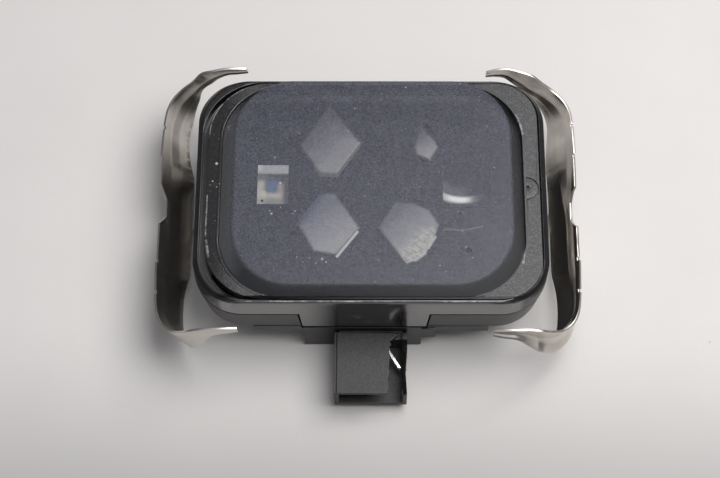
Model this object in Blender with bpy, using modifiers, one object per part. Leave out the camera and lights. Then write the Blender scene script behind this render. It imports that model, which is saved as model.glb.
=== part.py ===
"""Windscreen rain and light sensor module: a black two-part housing with a clear coupling pad,
light windows, a circuit board, a three-way socket and two sprung steel side clips.

Units are metres. +Z is up, towards the glass side, +X is to the right and -Y is the socket's side.
The origin is the middle of the rear cover's resting face.
"""
import math

import bmesh
import bpy
from mathutils import Matrix, Vector

MODEL_NAME = "rain_light_sensor"

# Housing, seen from the glass side
HOUSING_WIDTH = 0.0640
HOUSING_DEPTH = 0.0454
HOUSING_RADIUS = 0.0089
HOUSING_HEIGHT = 0.0200
UPPER_HEIGHT = 0.0052
WALL = 0.0016
RIM_WIDTH_SIDES = 0.0010
RIM_WIDTH_ENDS = 0.00045
RIM_DROP = 0.0007
RIM_FLAT = 0.0001
SHELF_WIDTH_SIDES = 0.0021
SHELF_WIDTH_ENDS = 0.00135
SHELF_DEPTH = 0.0020
SHELF_THICKNESS = 0.0011

# Clearances
GAP = 0.0003
PAD_GAP = 0.00028

# Rear cover
COVER_HEIGHT = 0.0055
COVER_FLOOR = 0.0012
COVER_TAPER = 0.0009
COVER_EDGE = 0.0010
BAND_HALF_WIDTH = 0.02145
BAND_DROP = 0.0014
HUMP_INSET_SIDES = 0.0070
HUMP_INSET_ENDS = 0.0052
HUMP_RADIUS = 0.0050
HUMP_CHAMFER = 0.0006

# Tongue of the upper housing in the front wall, and the cover's block below it
TONGUE_LEFT = -0.0129
TONGUE_RIGHT = 0.0106
TONGUE_DROP = 0.0057
TONGUE_LEAN = 0.0005
BLOCK_LEFT = -0.0122
BLOCK_RIGHT = 0.0093
BLOCK_Z = 0.0004
FOOT_WIDTH = 0.0025
FOOT_LOW = 0.0039
FOOT_HIGH = 0.0068

# Pad frame, which sits a little to the right in the housing, and the pad in it
CARRIER_SHIFT = 0.0004
FRAME_OPENING_WIDTH = 0.0558
FRAME_OPENING_RADIUS = 0.0117
FRAME_GROOVE = 0.0007
FRAME_LIP = 0.0004
FRAME_LIP_PROUD = 0.0003
TAB_RADIUS = 0.0020
TAB_GROOVE = 0.0003
PAD_HEIGHT = 0.00315
PAD_SLOPE_SIDES = 0.0024
PAD_SLOPE_ENDS = 0.0003

# Large kite windows: centre x, y of the wide corners, reach to the narrow and to the blunt end, lean
KITES = {
    "rain_lens_rear_left": (-0.0076, 0.0102, 0.0077, 0.0063, 0.0003),
    "rain_lens_front_left": (-0.0076, -0.0070, 0.0070, 0.0054, -0.0005),
    "rain_lens_front_right": (0.0070, -0.0064, -0.0078, -0.0047, 0.0002),
}
KITE_WIDTH = 0.0111
KITE_BLUNT = 0.0044
KITE_TIP = 0.0012
KITE_CORNER = 0.0006
SMALL_KITE = (0.0103, 0.0099, 0.0043, 0.0032, 0.0004)
SMALL_KITE_WIDTH = 0.0046
SMALL_KITE_BLUNT = 0.0014
# Rectangular windows: centre x and width
RECTS = {"ambient_window": (-0.0180, 0.0058), "forward_window": (0.0172, 0.0084)}
RECT_Y = 0.0017
RECT_LENGTH = 0.0081
LENS_FLANGE = 0.0007
LENS_FLANGE_THICKNESS = 0.0009

# Board and what is on it
BOARD_THICKNESS = 0.0016
BOARD_INSET = 0.0018
BOARD_CLEARANCE = 0.0005
MASK_THICKNESS = 0.0026
DIODE_SIZE = 0.0030
DIODE_HEIGHT = 0.0012
SENSOR_SIZE = 0.0026
SENSOR_HEIGHT = 0.0009
HUMIDITY_PLACE = (0.0, 0.0104)
CONTROLLER_SIZE = (0.0070, 0.0070, 0.0012)
CONTROLLER_PLACE = (-0.0100, 0.0)
TRANSCEIVER_SIZE = (0.0049, 0.0039, 0.0014)
TRANSCEIVER_PLACE = (0.0040, 0.0040)
CAPACITOR_RADIUS = 0.00315
CAPACITOR_HEIGHT = 0.0054
CAPACITOR_PLACE = (0.0150, 0.0)
SEAL_RADIUS = 0.00055

# Socket
SHROUD_WIDTH = 0.0133
SHROUD_LENGTH = 0.0120
SHROUD_HEIGHT = 0.0061
SHROUD_TOP = 0.0075
SHROUD_WALL = 0.0009
SHROUD_BACK = 0.0012
SLOT_LEFT = 0.0037
SLOT_SLANT = 0.0007
SLOT_END = 0.0008
SPIGOT_LENGTH = 0.0011
CONTACT_PITCH = 0.0035
CONTACT_WIDTH = 0.0006
CONTACT_REACH = 0.0060
CONTACT_TAIL_SETBACK = 0.0016
BEND_START = 0.0018
BEND_REACH = 0.0052
BEND_OFFSET = 0.0018

# Clips: a formed strip, given for the right side at its relaxed angle
CLIP_THICKNESS = 0.00045
HINGE_INSET = 0.0024
HINGE_Z = 0.0020
HINGE_PIN_RADIUS = 0.0007
HINGE_PIN_CLEARANCE = 0.0002
EAR_THICKNESS = 0.0022
EAR_WALL = 0.0013
EAR_ROUNDING = 0.7
# The clip's foot: how far up the strip it starts, where it turns under, and how far round it curls
HOOK_HALF_WIDTH = 0.0092
HOOK_OVERLAP = 0.22
HOOK_THICKNESS_SHARE = 0.94
HOOK_TURN_REACH = 0.0036
HOOK_TURN_DROP = 0.0002
HOOK_EYE_REACH = 0.0022
HOOK_CURL_DEGREES = range(-90, -331, -20)
LEFT_CLIP_SWING = math.radians(7.0)
LEFT_RECESS_SHIFT = 0.0011
RECESS_HALF_WIDTH = 0.0018
RECESS_RAMP = 0.0026
RECESS_DEPTH = 0.0026
# Creases across the strip: place as a share of its width, and how far each stands out
CREASES = ((0.0, 0.0), (0.36, 0.00035), (0.66, -0.00010), (1.0, 0.0))
CREASE_FULL_WIDTH = 0.0060
NICK_PLACES = (0.0103, 0.0167)
NICK_WIDTH = 0.0007
NICK_DEPTH = 0.0005

# Heights and places that follow from the sizes above
PARTING_Z = HOUSING_HEIGHT - UPPER_HEIGHT
COVER_TOP_Z = PARTING_Z - GAP
COVER_BOTTOM_Z = COVER_TOP_Z - COVER_HEIGHT
COVER_FLOOR_Z = COVER_BOTTOM_Z + COVER_FLOOR
SHELF_TOP_Z = HOUSING_HEIGHT - SHELF_DEPTH
SHELF_Z = SHELF_TOP_Z - SHELF_THICKNESS
PAD_Z = SHELF_TOP_Z + GAP
BOARD_Z = COVER_FLOOR_Z + BOARD_CLEARANCE
BOARD_TOP_Z = BOARD_Z + BOARD_THICKNESS
MASK_Z = BOARD_TOP_Z + GAP
MASK_TOP_Z = MASK_Z + MASK_THICKNESS
TONGUE_Z = PARTING_Z - TONGUE_DROP
FRONT_Y = -HOUSING_DEPTH / 2
INNER_WIDTH = HOUSING_WIDTH - 2 * WALL
INNER_DEPTH = HOUSING_DEPTH - 2 * WALL
INNER_RADIUS = HOUSING_RADIUS - WALL
RIM_WIDTH = HOUSING_WIDTH - 2 * RIM_WIDTH_SIDES
RIM_DEPTH = HOUSING_DEPTH - 2 * RIM_WIDTH_ENDS
RIM_RADIUS = HOUSING_RADIUS - RIM_WIDTH_SIDES
SHELF_HOLE_WIDTH = RIM_WIDTH - 2 * SHELF_WIDTH_SIDES
SHELF_HOLE_DEPTH = RIM_DEPTH - 2 * SHELF_WIDTH_ENDS
SHELF_HOLE_RADIUS = RIM_RADIUS - SHELF_WIDTH_ENDS
FRAME_WIDTH = RIM_WIDTH - 2 * FRAME_GROOVE
FRAME_DEPTH = RIM_DEPTH - 2 * GAP
FRAME_RADIUS = RIM_RADIUS - GAP
FRAME_OPENING_DEPTH = FRAME_DEPTH - 2 * FRAME_LIP
PAD_WIDTH = FRAME_OPENING_WIDTH - 2 * PAD_GAP
PAD_DEPTH = FRAME_OPENING_DEPTH - 2 * PAD_GAP
HUMP_WIDTH = HOUSING_WIDTH - 2 * HUMP_INSET_SIDES
HUMP_DEPTH = HOUSING_DEPTH - 2 * HUMP_INSET_ENDS
SHROUD_Z = SHROUD_TOP - SHROUD_HEIGHT
CONTACT_Z = SHROUD_TOP - SHROUD_HEIGHT / 2
HINGE_X = HOUSING_WIDTH / 2 - HINGE_INSET
EAR_Y = HOOK_HALF_WIDTH + GAP
EAR_RADIUS = HINGE_PIN_RADIUS + EAR_WALL
EYE_RADIUS = HINGE_PIN_RADIUS + HINGE_PIN_CLEARANCE + CLIP_THICKNESS / 2

ARC_STEPS = 6
BIG_ARC_STEPS = 8
OVERSHOOT = 0.0020


# ---------------------------------------------------------------- scene and materials

def clear_scene():
    """Remove every object, so that the script starts from nothing."""
    for obj in list(bpy.data.objects):
        bpy.data.objects.remove(obj, do_unlink=True)


def new_collection(name):
    collection = bpy.data.collections.new(name)
    bpy.context.scene.collection.children.link(collection)
    return collection


def principled(name, colour, roughness, metallic=0.0, alpha=1.0):
    material = bpy.data.materials.new(name)
    material.use_nodes = True
    shader = material.node_tree.nodes["Principled BSDF"]
    shader.inputs["Base Color"].default_value = (*colour, 1.0)
    shader.inputs["Roughness"].default_value = roughness
    shader.inputs["Metallic"].default_value = metallic
    shader.inputs["Alpha"].default_value = alpha
    return material


def add_object(name, bm, collection, material=None):
    """Turn a bmesh into a named object and shade its round stretches smooth."""
    mesh = bpy.data.meshes.new(name)
    bm.to_mesh(mesh)
    bm.free()
    mesh.shade_smooth()
    mesh.set_sharp_from_angle(angle=math.radians(35))
    obj = bpy.data.objects.new(name, mesh)
    collection.objects.link(obj)
    if material:
        mesh.materials.append(material)
    return obj


def part(name, bm, material):
    return add_object(name, bm, PARTS, material)


def cutter(name, bm):
    obj = add_object(name, bm, CUTTERS)
    obj.hide_render = True
    obj.display_type = "WIRE"
    return obj


def boolean(target, tool, operation):
    modifier = target.modifiers.new(f"{operation.lower()}_{tool.name}", "BOOLEAN")
    modifier.object = tool
    modifier.operation = operation
    modifier.solver = "EXACT"
    return target


def cut(target, bm):
    return boolean(target, cutter(f"{target.name}_cut_{len(target.modifiers)}", bm), "DIFFERENCE")


def join(target, bm):
    return boolean(target, cutter(f"{target.name}_add_{len(target.modifiers)}", bm), "UNION")


# ---------------------------------------------------------------- shapes

def box(low, high):
    """A box between two corners."""
    bm = bmesh.new()
    bmesh.ops.create_cube(bm, size=1.0)
    size = Vector(high) - Vector(low)
    bmesh.ops.scale(bm, vec=size, verts=bm.verts)
    bmesh.ops.translate(bm, vec=(Vector(high) + Vector(low)) / 2, verts=bm.verts)
    return bm


def is_upright(edge):
    a, b = (vert.co for vert in edge.verts)
    return abs(a.x - b.x) < 1e-7 and abs(a.y - b.y) < 1e-7


def is_level_at(edge, z):
    return all(abs(vert.co.z - z) < 1e-7 for vert in edge.verts)


def rounded_box(width, depth, radius, low, high, centre=(0.0, 0.0), steps=ARC_STEPS):
    """A box with rounded upright edges, between two heights."""
    x, y = centre
    bm = box((x - width / 2, y - depth / 2, low), (x + width / 2, y + depth / 2, high))
    upright = [edge for edge in bm.edges if is_upright(edge)]
    bmesh.ops.bevel(bm, geom=upright, offset=radius, segments=steps, affect="EDGES", profile=0.5)
    return bm


def bevel_level(bm, z, width, segments=1):
    """Bevel the edges of the level face at one height."""
    edges = [edge for edge in bm.edges if is_level_at(edge, z)]
    bmesh.ops.bevel(bm, geom=edges, offset=width, segments=segments, affect="EDGES", profile=0.5)
    return bm


def shrink_level(bm, z, inset_x, inset_y, width, depth, centre=(0.0, 0.0)):
    """Pull the points at one height inwards, so that the sides there slope."""
    middle = Vector((*centre, z))
    factor = Vector((1 - 2 * inset_x / width, 1 - 2 * inset_y / depth, 1.0))
    verts = [vert for vert in bm.verts if abs(vert.co.z - z) < 1e-7]
    bmesh.ops.translate(bm, vec=-middle, verts=verts)
    bmesh.ops.scale(bm, vec=factor, verts=verts)
    bmesh.ops.translate(bm, vec=middle, verts=verts)
    return bm


def sloped_box(width, depth, radius, levels, insets, centre=(0.0, 0.0), steps=ARC_STEPS):
    """A rounded box that is upright to its second level and slopes inwards up to its third."""
    low, middle, high = levels
    bm = rounded_box(width, depth, radius, low, middle, centre, steps)
    upper = [face for face in bm.faces if face.normal.z > 0.9]
    raised = bmesh.ops.extrude_face_region(bm, geom=upper)
    bmesh.ops.delete(bm, geom=upper, context="FACES_ONLY")
    verts = [item for item in raised["geom"] if isinstance(item, bmesh.types.BMVert)]
    bmesh.ops.translate(bm, vec=(0, 0, high - middle), verts=verts)
    return shrink_level(bm, high, *insets, width, depth, centre)


def prism(outline, low, high):
    """A flat outline raised between two heights."""
    bm = bmesh.new()
    face = bm.faces.new([bm.verts.new((x, y, low)) for x, y in outline])
    raised = bmesh.ops.extrude_face_region(bm, geom=[face])
    verts = [item for item in raised["geom"] if isinstance(item, bmesh.types.BMVert)]
    bmesh.ops.translate(bm, vec=(0, 0, high - low), verts=verts)
    bmesh.ops.recalc_face_normals(bm, faces=bm.faces)
    return bm


def round_prism(outline, low, high, radius, steps=3):
    """A raised outline with its upright edges rounded."""
    bm = prism(outline, low, high)
    upright = [edge for edge in bm.edges if is_upright(edge)]
    bmesh.ops.bevel(bm, geom=upright, offset=radius, segments=steps, affect="EDGES", profile=0.5)
    return bm


def cylinder(radius, start, end, segments=20):
    """A cylinder from one point to another."""
    bm = bmesh.new()
    start, end = Vector(start), Vector(end)
    along = end - start
    bmesh.ops.create_cone(bm, cap_ends=True, segments=segments, radius1=radius, radius2=radius,
                          depth=along.length)
    turn = along.to_track_quat("Z", "Y").to_matrix().to_4x4()
    bmesh.ops.transform(bm, matrix=Matrix.Translation((start + end) / 2) @ turn, verts=bm.verts)
    return bm


def kite(place, width, blunt_width, tip_width):
    """A kite outline with a narrow and a blunt end, whose wide corners may lean."""
    x, y, tip_reach, blunt_reach, lean = place
    half, blunt, tip = width / 2, blunt_width / 2, tip_width / 2
    return [(x - tip, y + tip_reach), (x - half, y - lean), (x - blunt, y - blunt_reach),
            (x + blunt, y - blunt_reach), (x + half, y + lean), (x + tip, y + tip_reach)]


def grown(outline, centre, amount):
    """An outline with its points moved out from its centre."""
    moved = []
    for x, y in outline:
        away = Vector((x - centre[0], y - centre[1]))
        away += away.normalized() * amount
        moved.append((centre[0] + away.x, centre[1] + away.y))
    return moved


def square_wire(points, width):
    """A square wire that follows a path of points."""
    bm = bmesh.new()
    points = [Vector(point) for point in points]
    rings = []
    for index, point in enumerate(points):
        before = points[max(index - 1, 0)]
        after = points[min(index + 1, len(points) - 1)]
        along = (after - before).normalized()
        side = along.cross(Vector((0, 0, 1))) if abs(along.z) < 0.9 else Vector((1, 0, 0))
        side = side.normalized() if side.x >= 0 else -side.normalized()
        up = side.cross(along).normalized()
        half = width / 2
        corners = [(side + up) * half, (side - up) * half, (-side - up) * half, (up - side) * half]
        rings.append([bm.verts.new(point + corner) for corner in corners])
    for ring, following in zip(rings[:-1], rings[1:]):
        for i in range(4):
            j = (i + 1) % 4
            bm.faces.new((ring[i], ring[j], following[j], following[i]))
    bm.faces.new(rings[0])
    bm.faces.new(rings[-1])
    bmesh.ops.recalc_face_normals(bm, faces=bm.faces)
    return bm


# ---------------------------------------------------------------- housing

def tongue_outline(grow):
    """The front tongue's outline across X and Z, narrower at its foot."""
    top = PARTING_Z + GAP
    return [(TONGUE_LEFT - grow, top), (TONGUE_LEFT + TONGUE_LEAN - grow, TONGUE_Z - grow),
            (TONGUE_RIGHT - TONGUE_LEAN + grow, TONGUE_Z - grow), (TONGUE_RIGHT + grow, top)]


def front_slab(outline, back_y, front_y):
    """An outline across X and Z, given a thickness along Y."""
    bm = prism(outline, 0.0, back_y - front_y)
    stand = Matrix.Rotation(math.radians(90), 4, "X")
    bmesh.ops.transform(bm, matrix=Matrix.Translation((0, back_y, 0)) @ stand, verts=bm.verts)
    return bm


def make_upper_housing(material):
    """The outer bezel: a rim with a bevelled edge, a shelf inside it and a tongue in front."""
    levels = (PARTING_Z, HOUSING_HEIGHT - RIM_DROP, HOUSING_HEIGHT)
    insets = (RIM_WIDTH_SIDES - RIM_FLAT, RIM_WIDTH_ENDS - RIM_FLAT)
    outer = sloped_box(HOUSING_WIDTH, HOUSING_DEPTH, HOUSING_RADIUS, levels, insets, steps=BIG_ARC_STEPS)
    housing = part("upper_housing", outer, material)
    join(housing, front_slab(tongue_outline(0.0), FRONT_Y + WALL, FRONT_Y))
    cut(housing, rounded_box(INNER_WIDTH, INNER_DEPTH, INNER_RADIUS, PARTING_Z - OVERSHOOT, SHELF_Z))
    cut(housing, rounded_box(SHELF_HOLE_WIDTH, SHELF_HOLE_DEPTH, SHELF_HOLE_RADIUS, SHELF_Z - OVERSHOOT / 2,
                             SHELF_TOP_Z + OVERSHOOT))
    cut(housing, rounded_box(RIM_WIDTH, RIM_DEPTH, RIM_RADIUS, SHELF_TOP_Z, HOUSING_HEIGHT + OVERSHOOT,
                             steps=BIG_ARC_STEPS))
    return housing


def make_rear_cover(material):
    """The lower shell: a tray with a band and a hump below it, a block in front and four hinge ears."""
    outer = rounded_box(HOUSING_WIDTH, HOUSING_DEPTH, HOUSING_RADIUS, COVER_BOTTOM_Z, COVER_TOP_Z,
                        steps=BIG_ARC_STEPS)
    shrink_level(outer, COVER_BOTTOM_Z, COVER_TAPER, COVER_TAPER / 3, HOUSING_WIDTH, HOUSING_DEPTH)
    bevel_level(outer, COVER_BOTTOM_Z, COVER_EDGE, segments=2)
    cover = part("rear_cover", outer, material)

    within = COVER_BOTTOM_Z + COVER_FLOOR / 2
    band_y = HOUSING_DEPTH / 2 - COVER_TAPER / 3 - GAP
    band_low = (-BAND_HALF_WIDTH, -band_y, COVER_BOTTOM_Z - BAND_DROP)
    join(cover, box(band_low, (BAND_HALF_WIDTH, band_y, within)))
    hump = rounded_box(HUMP_WIDTH, HUMP_DEPTH, HUMP_RADIUS, 0.0, within)
    bevel_level(hump, 0.0, HUMP_CHAMFER)
    join(cover, hump)
    block_back = -HUMP_DEPTH / 2 + WALL / 2
    join(cover, box((BLOCK_LEFT, FRONT_Y, BLOCK_Z), (BLOCK_RIGHT, block_back, TONGUE_Z - GAP)))
    foot_low = (BLOCK_RIGHT - WALL, FRONT_Y, FOOT_LOW)
    join(cover, box(foot_low, (BLOCK_RIGHT + FOOT_WIDTH, FRONT_Y + WALL, FOOT_HIGH)))
    for side in (-1, 1):
        for end in (-1, 1):
            join(cover, hinge_ear(side, end))

    cut(cover, rounded_box(INNER_WIDTH, INNER_DEPTH, INNER_RADIUS, COVER_FLOOR_Z, COVER_TOP_Z + OVERSHOOT))
    cut(cover, rounded_box(HUMP_WIDTH - 2 * WALL, HUMP_DEPTH - 2 * WALL, HUMP_RADIUS - WALL,
                           WALL, COVER_FLOOR_Z + GAP))
    cut(cover, front_slab(tongue_outline(GAP), FRONT_Y + WALL + GAP, FRONT_Y - OVERSHOOT))
    half = SHROUD_WIDTH / 2 - SHROUD_WALL + GAP
    cut(cover, box((-half, FRONT_Y - OVERSHOOT, SHROUD_Z + SHROUD_WALL - GAP),
                   (half, -HUMP_DEPTH / 2 + WALL + OVERSHOOT / 2, SHROUD_TOP - SHROUD_WALL + GAP)))
    for side in (-1, 1):
        reach = EAR_Y + EAR_THICKNESS + OVERSHOOT
        start, end = (side * HINGE_X, -reach, HINGE_Z), (side * HINGE_X, reach, HINGE_Z)
        cut(cover, cylinder(HINGE_PIN_RADIUS + HINGE_PIN_CLEARANCE / 2, start, end, segments=16))
    return cover


def hinge_ear(side, end):
    """One of the four ears under the cover that hold a hinge pin."""
    x = side * HINGE_X
    near, far = end * EAR_Y, end * (EAR_Y + EAR_THICKNESS)
    low = (x - EAR_RADIUS, min(near, far), HINGE_Z - EAR_RADIUS + HUMP_CHAMFER)
    bm = box(low, (x + EAR_RADIUS, max(near, far), COVER_BOTTOM_Z + COVER_FLOOR / 2))
    lower = [edge for edge in bm.edges if is_level_at(edge, low[2])
             and abs(edge.verts[0].co.x - edge.verts[1].co.x) < 1e-7]
    bmesh.ops.bevel(bm, geom=lower, offset=EAR_RADIUS * EAR_ROUNDING, segments=3, affect="EDGES", profile=0.5)
    return bm


# ---------------------------------------------------------------- optics

def make_pad(material):
    """The soft clear pad: upright in its frame, then sloping in to a flat top."""
    levels = (PAD_Z, HOUSING_HEIGHT, HOUSING_HEIGHT + PAD_HEIGHT)
    insets = (PAD_SLOPE_SIDES, PAD_SLOPE_ENDS)
    bm = sloped_box(PAD_WIDTH, PAD_DEPTH, FRAME_OPENING_RADIUS - PAD_GAP, levels, insets,
                    centre=(CARRIER_SHIFT, 0.0), steps=BIG_ARC_STEPS)
    return part("coupling_pad", bm, material)


def frame_opening(grow, low, high):
    """The frame's opening, grown outwards, between two heights."""
    return rounded_box(FRAME_OPENING_WIDTH + 2 * grow, FRAME_OPENING_DEPTH + 2 * grow,
                       FRAME_OPENING_RADIUS + grow, low, high, (CARRIER_SHIFT, 0.0), steps=BIG_ARC_STEPS)


def make_pad_frame(material):
    """The flat frame around the pad, with a raised lip and a round tab marked by a groove."""
    plate = rounded_box(FRAME_WIDTH, FRAME_DEPTH, FRAME_RADIUS, PAD_Z, HOUSING_HEIGHT,
                        (CARRIER_SHIFT, 0.0), steps=BIG_ARC_STEPS)
    frame = part("pad_frame", plate, material)
    tab_x = CARRIER_SHIFT + (FRAME_OPENING_WIDTH + FRAME_LIP) / 2
    groove_z = HOUSING_HEIGHT - TAB_GROOVE
    cut(frame, cylinder(TAB_RADIUS, (tab_x, 0, groove_z), (tab_x, 0, HOUSING_HEIGHT + OVERSHOOT), 32))
    join(frame, cylinder(TAB_RADIUS - TAB_GROOVE, (tab_x, 0, groove_z - TAB_GROOVE),
                         (tab_x, 0, HOUSING_HEIGHT - TAB_GROOVE / 4), 32))
    join(frame, frame_opening(FRAME_LIP, PAD_Z + GAP, HOUSING_HEIGHT + FRAME_LIP_PROUD))
    cut(frame, frame_opening(0.0, PAD_Z - OVERSHOOT, HOUSING_HEIGHT + OVERSHOOT))
    return frame


def window_shapes():
    """Each window's node name, outline, centre and corner radius."""
    shapes = []
    for name, place in KITES.items():
        shapes.append((name, kite(place, KITE_WIDTH, KITE_BLUNT, KITE_TIP), place[:2], KITE_CORNER))
    outline = kite(SMALL_KITE, SMALL_KITE_WIDTH, SMALL_KITE_BLUNT, KITE_TIP / 2)
    shapes.append(("light_lens_small", outline, SMALL_KITE[:2], KITE_CORNER / 4))
    for name, (x, width) in RECTS.items():
        left, right = x - width / 2, x + width / 2
        front, back = RECT_Y - RECT_LENGTH / 2, RECT_Y + RECT_LENGTH / 2
        outline = [(left, front), (right, front), (right, back), (left, back)]
        shapes.append((name, outline, (x, RECT_Y), KITE_CORNER / 2))
    return shapes


def make_lens_plate(material):
    """The dark plate under the pad, with a hole for each window."""
    plate = part("lens_plate", rounded_box(SHELF_HOLE_WIDTH - 2 * GAP, SHELF_HOLE_DEPTH - 2 * GAP,
                                           SHELF_HOLE_RADIUS - GAP, SHELF_Z, SHELF_TOP_Z), material)
    for _, outline, centre, corner in window_shapes():
        hole = round_prism(grown(outline, centre, GAP), SHELF_Z - OVERSHOOT, SHELF_TOP_Z + OVERSHOOT, corner)
        cut(plate, hole)
    return plate


def make_lenses(material):
    """A clear window in each hole, held by a flange below the plate."""
    flange_top = SHELF_Z - GAP
    flange_z = flange_top - LENS_FLANGE_THICKNESS
    for name, outline, centre, corner in window_shapes():
        low = flange_top - LENS_FLANGE_THICKNESS / 2
        lens = part(name, round_prism(outline, low, SHELF_TOP_Z, corner), material)
        join(lens, round_prism(grown(outline, centre, LENS_FLANGE), flange_z, flange_top, corner))


# ---------------------------------------------------------------- electronics

def chip_places():
    """Node name, place, size and height of each chip that faces the windows."""
    diode = (DIODE_SIZE, DIODE_SIZE)
    sensor = (SENSOR_SIZE, SENSOR_SIZE)
    return (
        ("emitter_left", KITES["rain_lens_rear_left"][:2], diode, DIODE_HEIGHT, "dark_epoxy"),
        ("emitter_right", KITES["rain_lens_front_right"][:2], diode, DIODE_HEIGHT, "dark_epoxy"),
        ("receiver_left", KITES["rain_lens_front_left"][:2], diode, DIODE_HEIGHT, "dark_epoxy"),
        ("receiver_right", SMALL_KITE[:2], diode, DIODE_HEIGHT, "dark_epoxy"),
        ("ambient_sensor", (RECTS["ambient_window"][0], RECT_Y), sensor, SENSOR_HEIGHT, "clear_epoxy"),
        ("forward_sensor", (RECTS["forward_window"][0], RECT_Y), sensor, SENSOR_HEIGHT, "clear_epoxy"),
        ("humidity_sensor", HUMIDITY_PLACE, sensor, SENSOR_HEIGHT, "white_epoxy"),
    )


def board_outline(low, high):
    """A slab that follows the inner wall, with room for the seal."""
    width, depth = INNER_WIDTH - 2 * BOARD_INSET, INNER_DEPTH - 2 * BOARD_INSET
    return rounded_box(width, depth, INNER_RADIUS - BOARD_INSET, low, high)


def block(place, size, low, high):
    """An upright block of a size, centred on a place."""
    (x, y), half_x, half_y = place, size[0] / 2, size[1] / 2
    return box((x - half_x, y - half_y, low), (x + half_x, y + half_y, high))


def make_board(material):
    """The circuit board, with a hole for each contact's tail."""
    board = part("circuit_board", board_outline(BOARD_Z, BOARD_TOP_Z), material)
    hole = CONTACT_WIDTH + 2 * GAP
    for x in contact_xs():
        cut(board, block((x, contact_tail_y()), (hole, hole), BOARD_Z - OVERSHOOT, BOARD_TOP_Z + OVERSHOOT))
    return board


def make_mask(material):
    """The black block that keeps the light of each chip apart, with a well for each of them."""
    mask = part("light_guide_mask", board_outline(MASK_Z, MASK_TOP_Z), material)
    low, high = MASK_Z - OVERSHOOT, MASK_TOP_Z + OVERSHOOT
    for _, place, (size_x, size_y), _, _ in chip_places():
        cut(mask, block(place, (size_x + 2 * GAP, size_y + 2 * GAP), low, high))
    tails = (2 * (CONTACT_PITCH + CONTACT_WIDTH + GAP), 4 * CONTACT_WIDTH)
    cut(mask, block((0.0, contact_tail_y()), tails, low, high))
    return mask


def make_chips(materials):
    """The chips on the board: seven that face the windows and three on its other side."""
    base = BOARD_TOP_Z + GAP
    for name, place, size, height, finish in chip_places():
        part(name, block(place, size, base, base + height), materials[finish])
    under = BOARD_Z - GAP
    backs = (("controller_chip", CONTROLLER_PLACE, CONTROLLER_SIZE),
             ("transceiver_chip", TRANSCEIVER_PLACE, TRANSCEIVER_SIZE))
    for name, place, (size_x, size_y, height) in backs:
        part(name, block(place, (size_x, size_y), under - height, under), materials["dark_epoxy"])
    foot, head = (*CAPACITOR_PLACE, under - CAPACITOR_HEIGHT), (*CAPACITOR_PLACE, under)
    part("filter_capacitor", cylinder(CAPACITOR_RADIUS, foot, head, segments=24), materials["can"])


def make_seal(material):
    """A rubber ring against the inner wall, across the parting line."""
    width, depth, radius = INNER_WIDTH - 2 * GAP, INNER_DEPTH - 2 * GAP, INNER_RADIUS - GAP
    low = PARTING_Z - 2 * SEAL_RADIUS
    high = PARTING_Z + SEAL_RADIUS
    ring = part("housing_seal", rounded_box(width, depth, radius, low, high), material)
    inset = 2 * SEAL_RADIUS
    cut(ring, rounded_box(width - 2 * inset, depth - 2 * inset, radius - inset,
                          low - OVERSHOOT, high + OVERSHOOT))
    return ring


# ---------------------------------------------------------------- socket

def contact_xs():
    return (-CONTACT_PITCH, 0.0, CONTACT_PITCH)


def contact_tail_y():
    """The row where the contacts turn up into the board."""
    return -HUMP_DEPTH / 2 + WALL + CONTACT_TAIL_SETBACK


def make_shroud(material):
    """The socket's shroud: a box open to the front, with a slot broken in its top and three holes."""
    back = FRONT_Y - GAP
    front = back - SHROUD_LENGTH
    half = SHROUD_WIDTH / 2
    inner = half - SHROUD_WALL
    floor, ceiling = SHROUD_Z + SHROUD_WALL, SHROUD_TOP - SHROUD_WALL
    shroud = part("connector_shroud", box((-half, front, SHROUD_Z), (half, back, SHROUD_TOP)), material)
    join(shroud, box((-inner, back - SHROUD_WALL, floor), (inner, back + SPIGOT_LENGTH, ceiling)))
    cut(shroud, box((-inner, front - OVERSHOOT, floor), (inner, back - SHROUD_BACK, ceiling)))
    slot_end = back - SHROUD_BACK - SLOT_END
    slot = [(SLOT_LEFT - SLOT_SLANT, front - OVERSHOOT), (inner, front - OVERSHOOT), (inner, slot_end),
            (SLOT_LEFT + SLOT_SLANT, slot_end)]
    cut(shroud, prism(slot, ceiling - GAP, SHROUD_TOP + OVERSHOOT))
    grip = CONTACT_WIDTH / 2 + GAP
    for x in contact_xs():
        cut(shroud, box((x - grip, back - SHROUD_BACK - OVERSHOOT, CONTACT_Z - grip),
                        (x + grip, back + SPIGOT_LENGTH + OVERSHOOT, CONTACT_Z + grip)))
    return shroud


def make_contacts(material):
    """Three square contacts that run back through the cover and turn up into the board."""
    root_y = FRONT_Y - GAP - SHROUD_BACK
    tail_y = contact_tail_y()
    tail_top = BOARD_Z + BOARD_THICKNESS / 2
    for name, x in zip(("contact_left", "contact_middle", "contact_bent"), contact_xs()):
        path = [(x, root_y - CONTACT_REACH, CONTACT_Z)]
        if name == "contact_bent":
            path = [(x + BEND_OFFSET, root_y - BEND_REACH, CONTACT_Z), (x, root_y - BEND_START, CONTACT_Z)]
        path += [(x, tail_y - CONTACT_WIDTH, CONTACT_Z), (x, tail_y, CONTACT_Z + CONTACT_WIDTH),
                 (x, tail_y, tail_top)]
        part(name, square_wire(path, CONTACT_WIDTH), material)


# ---------------------------------------------------------------- clips

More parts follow.
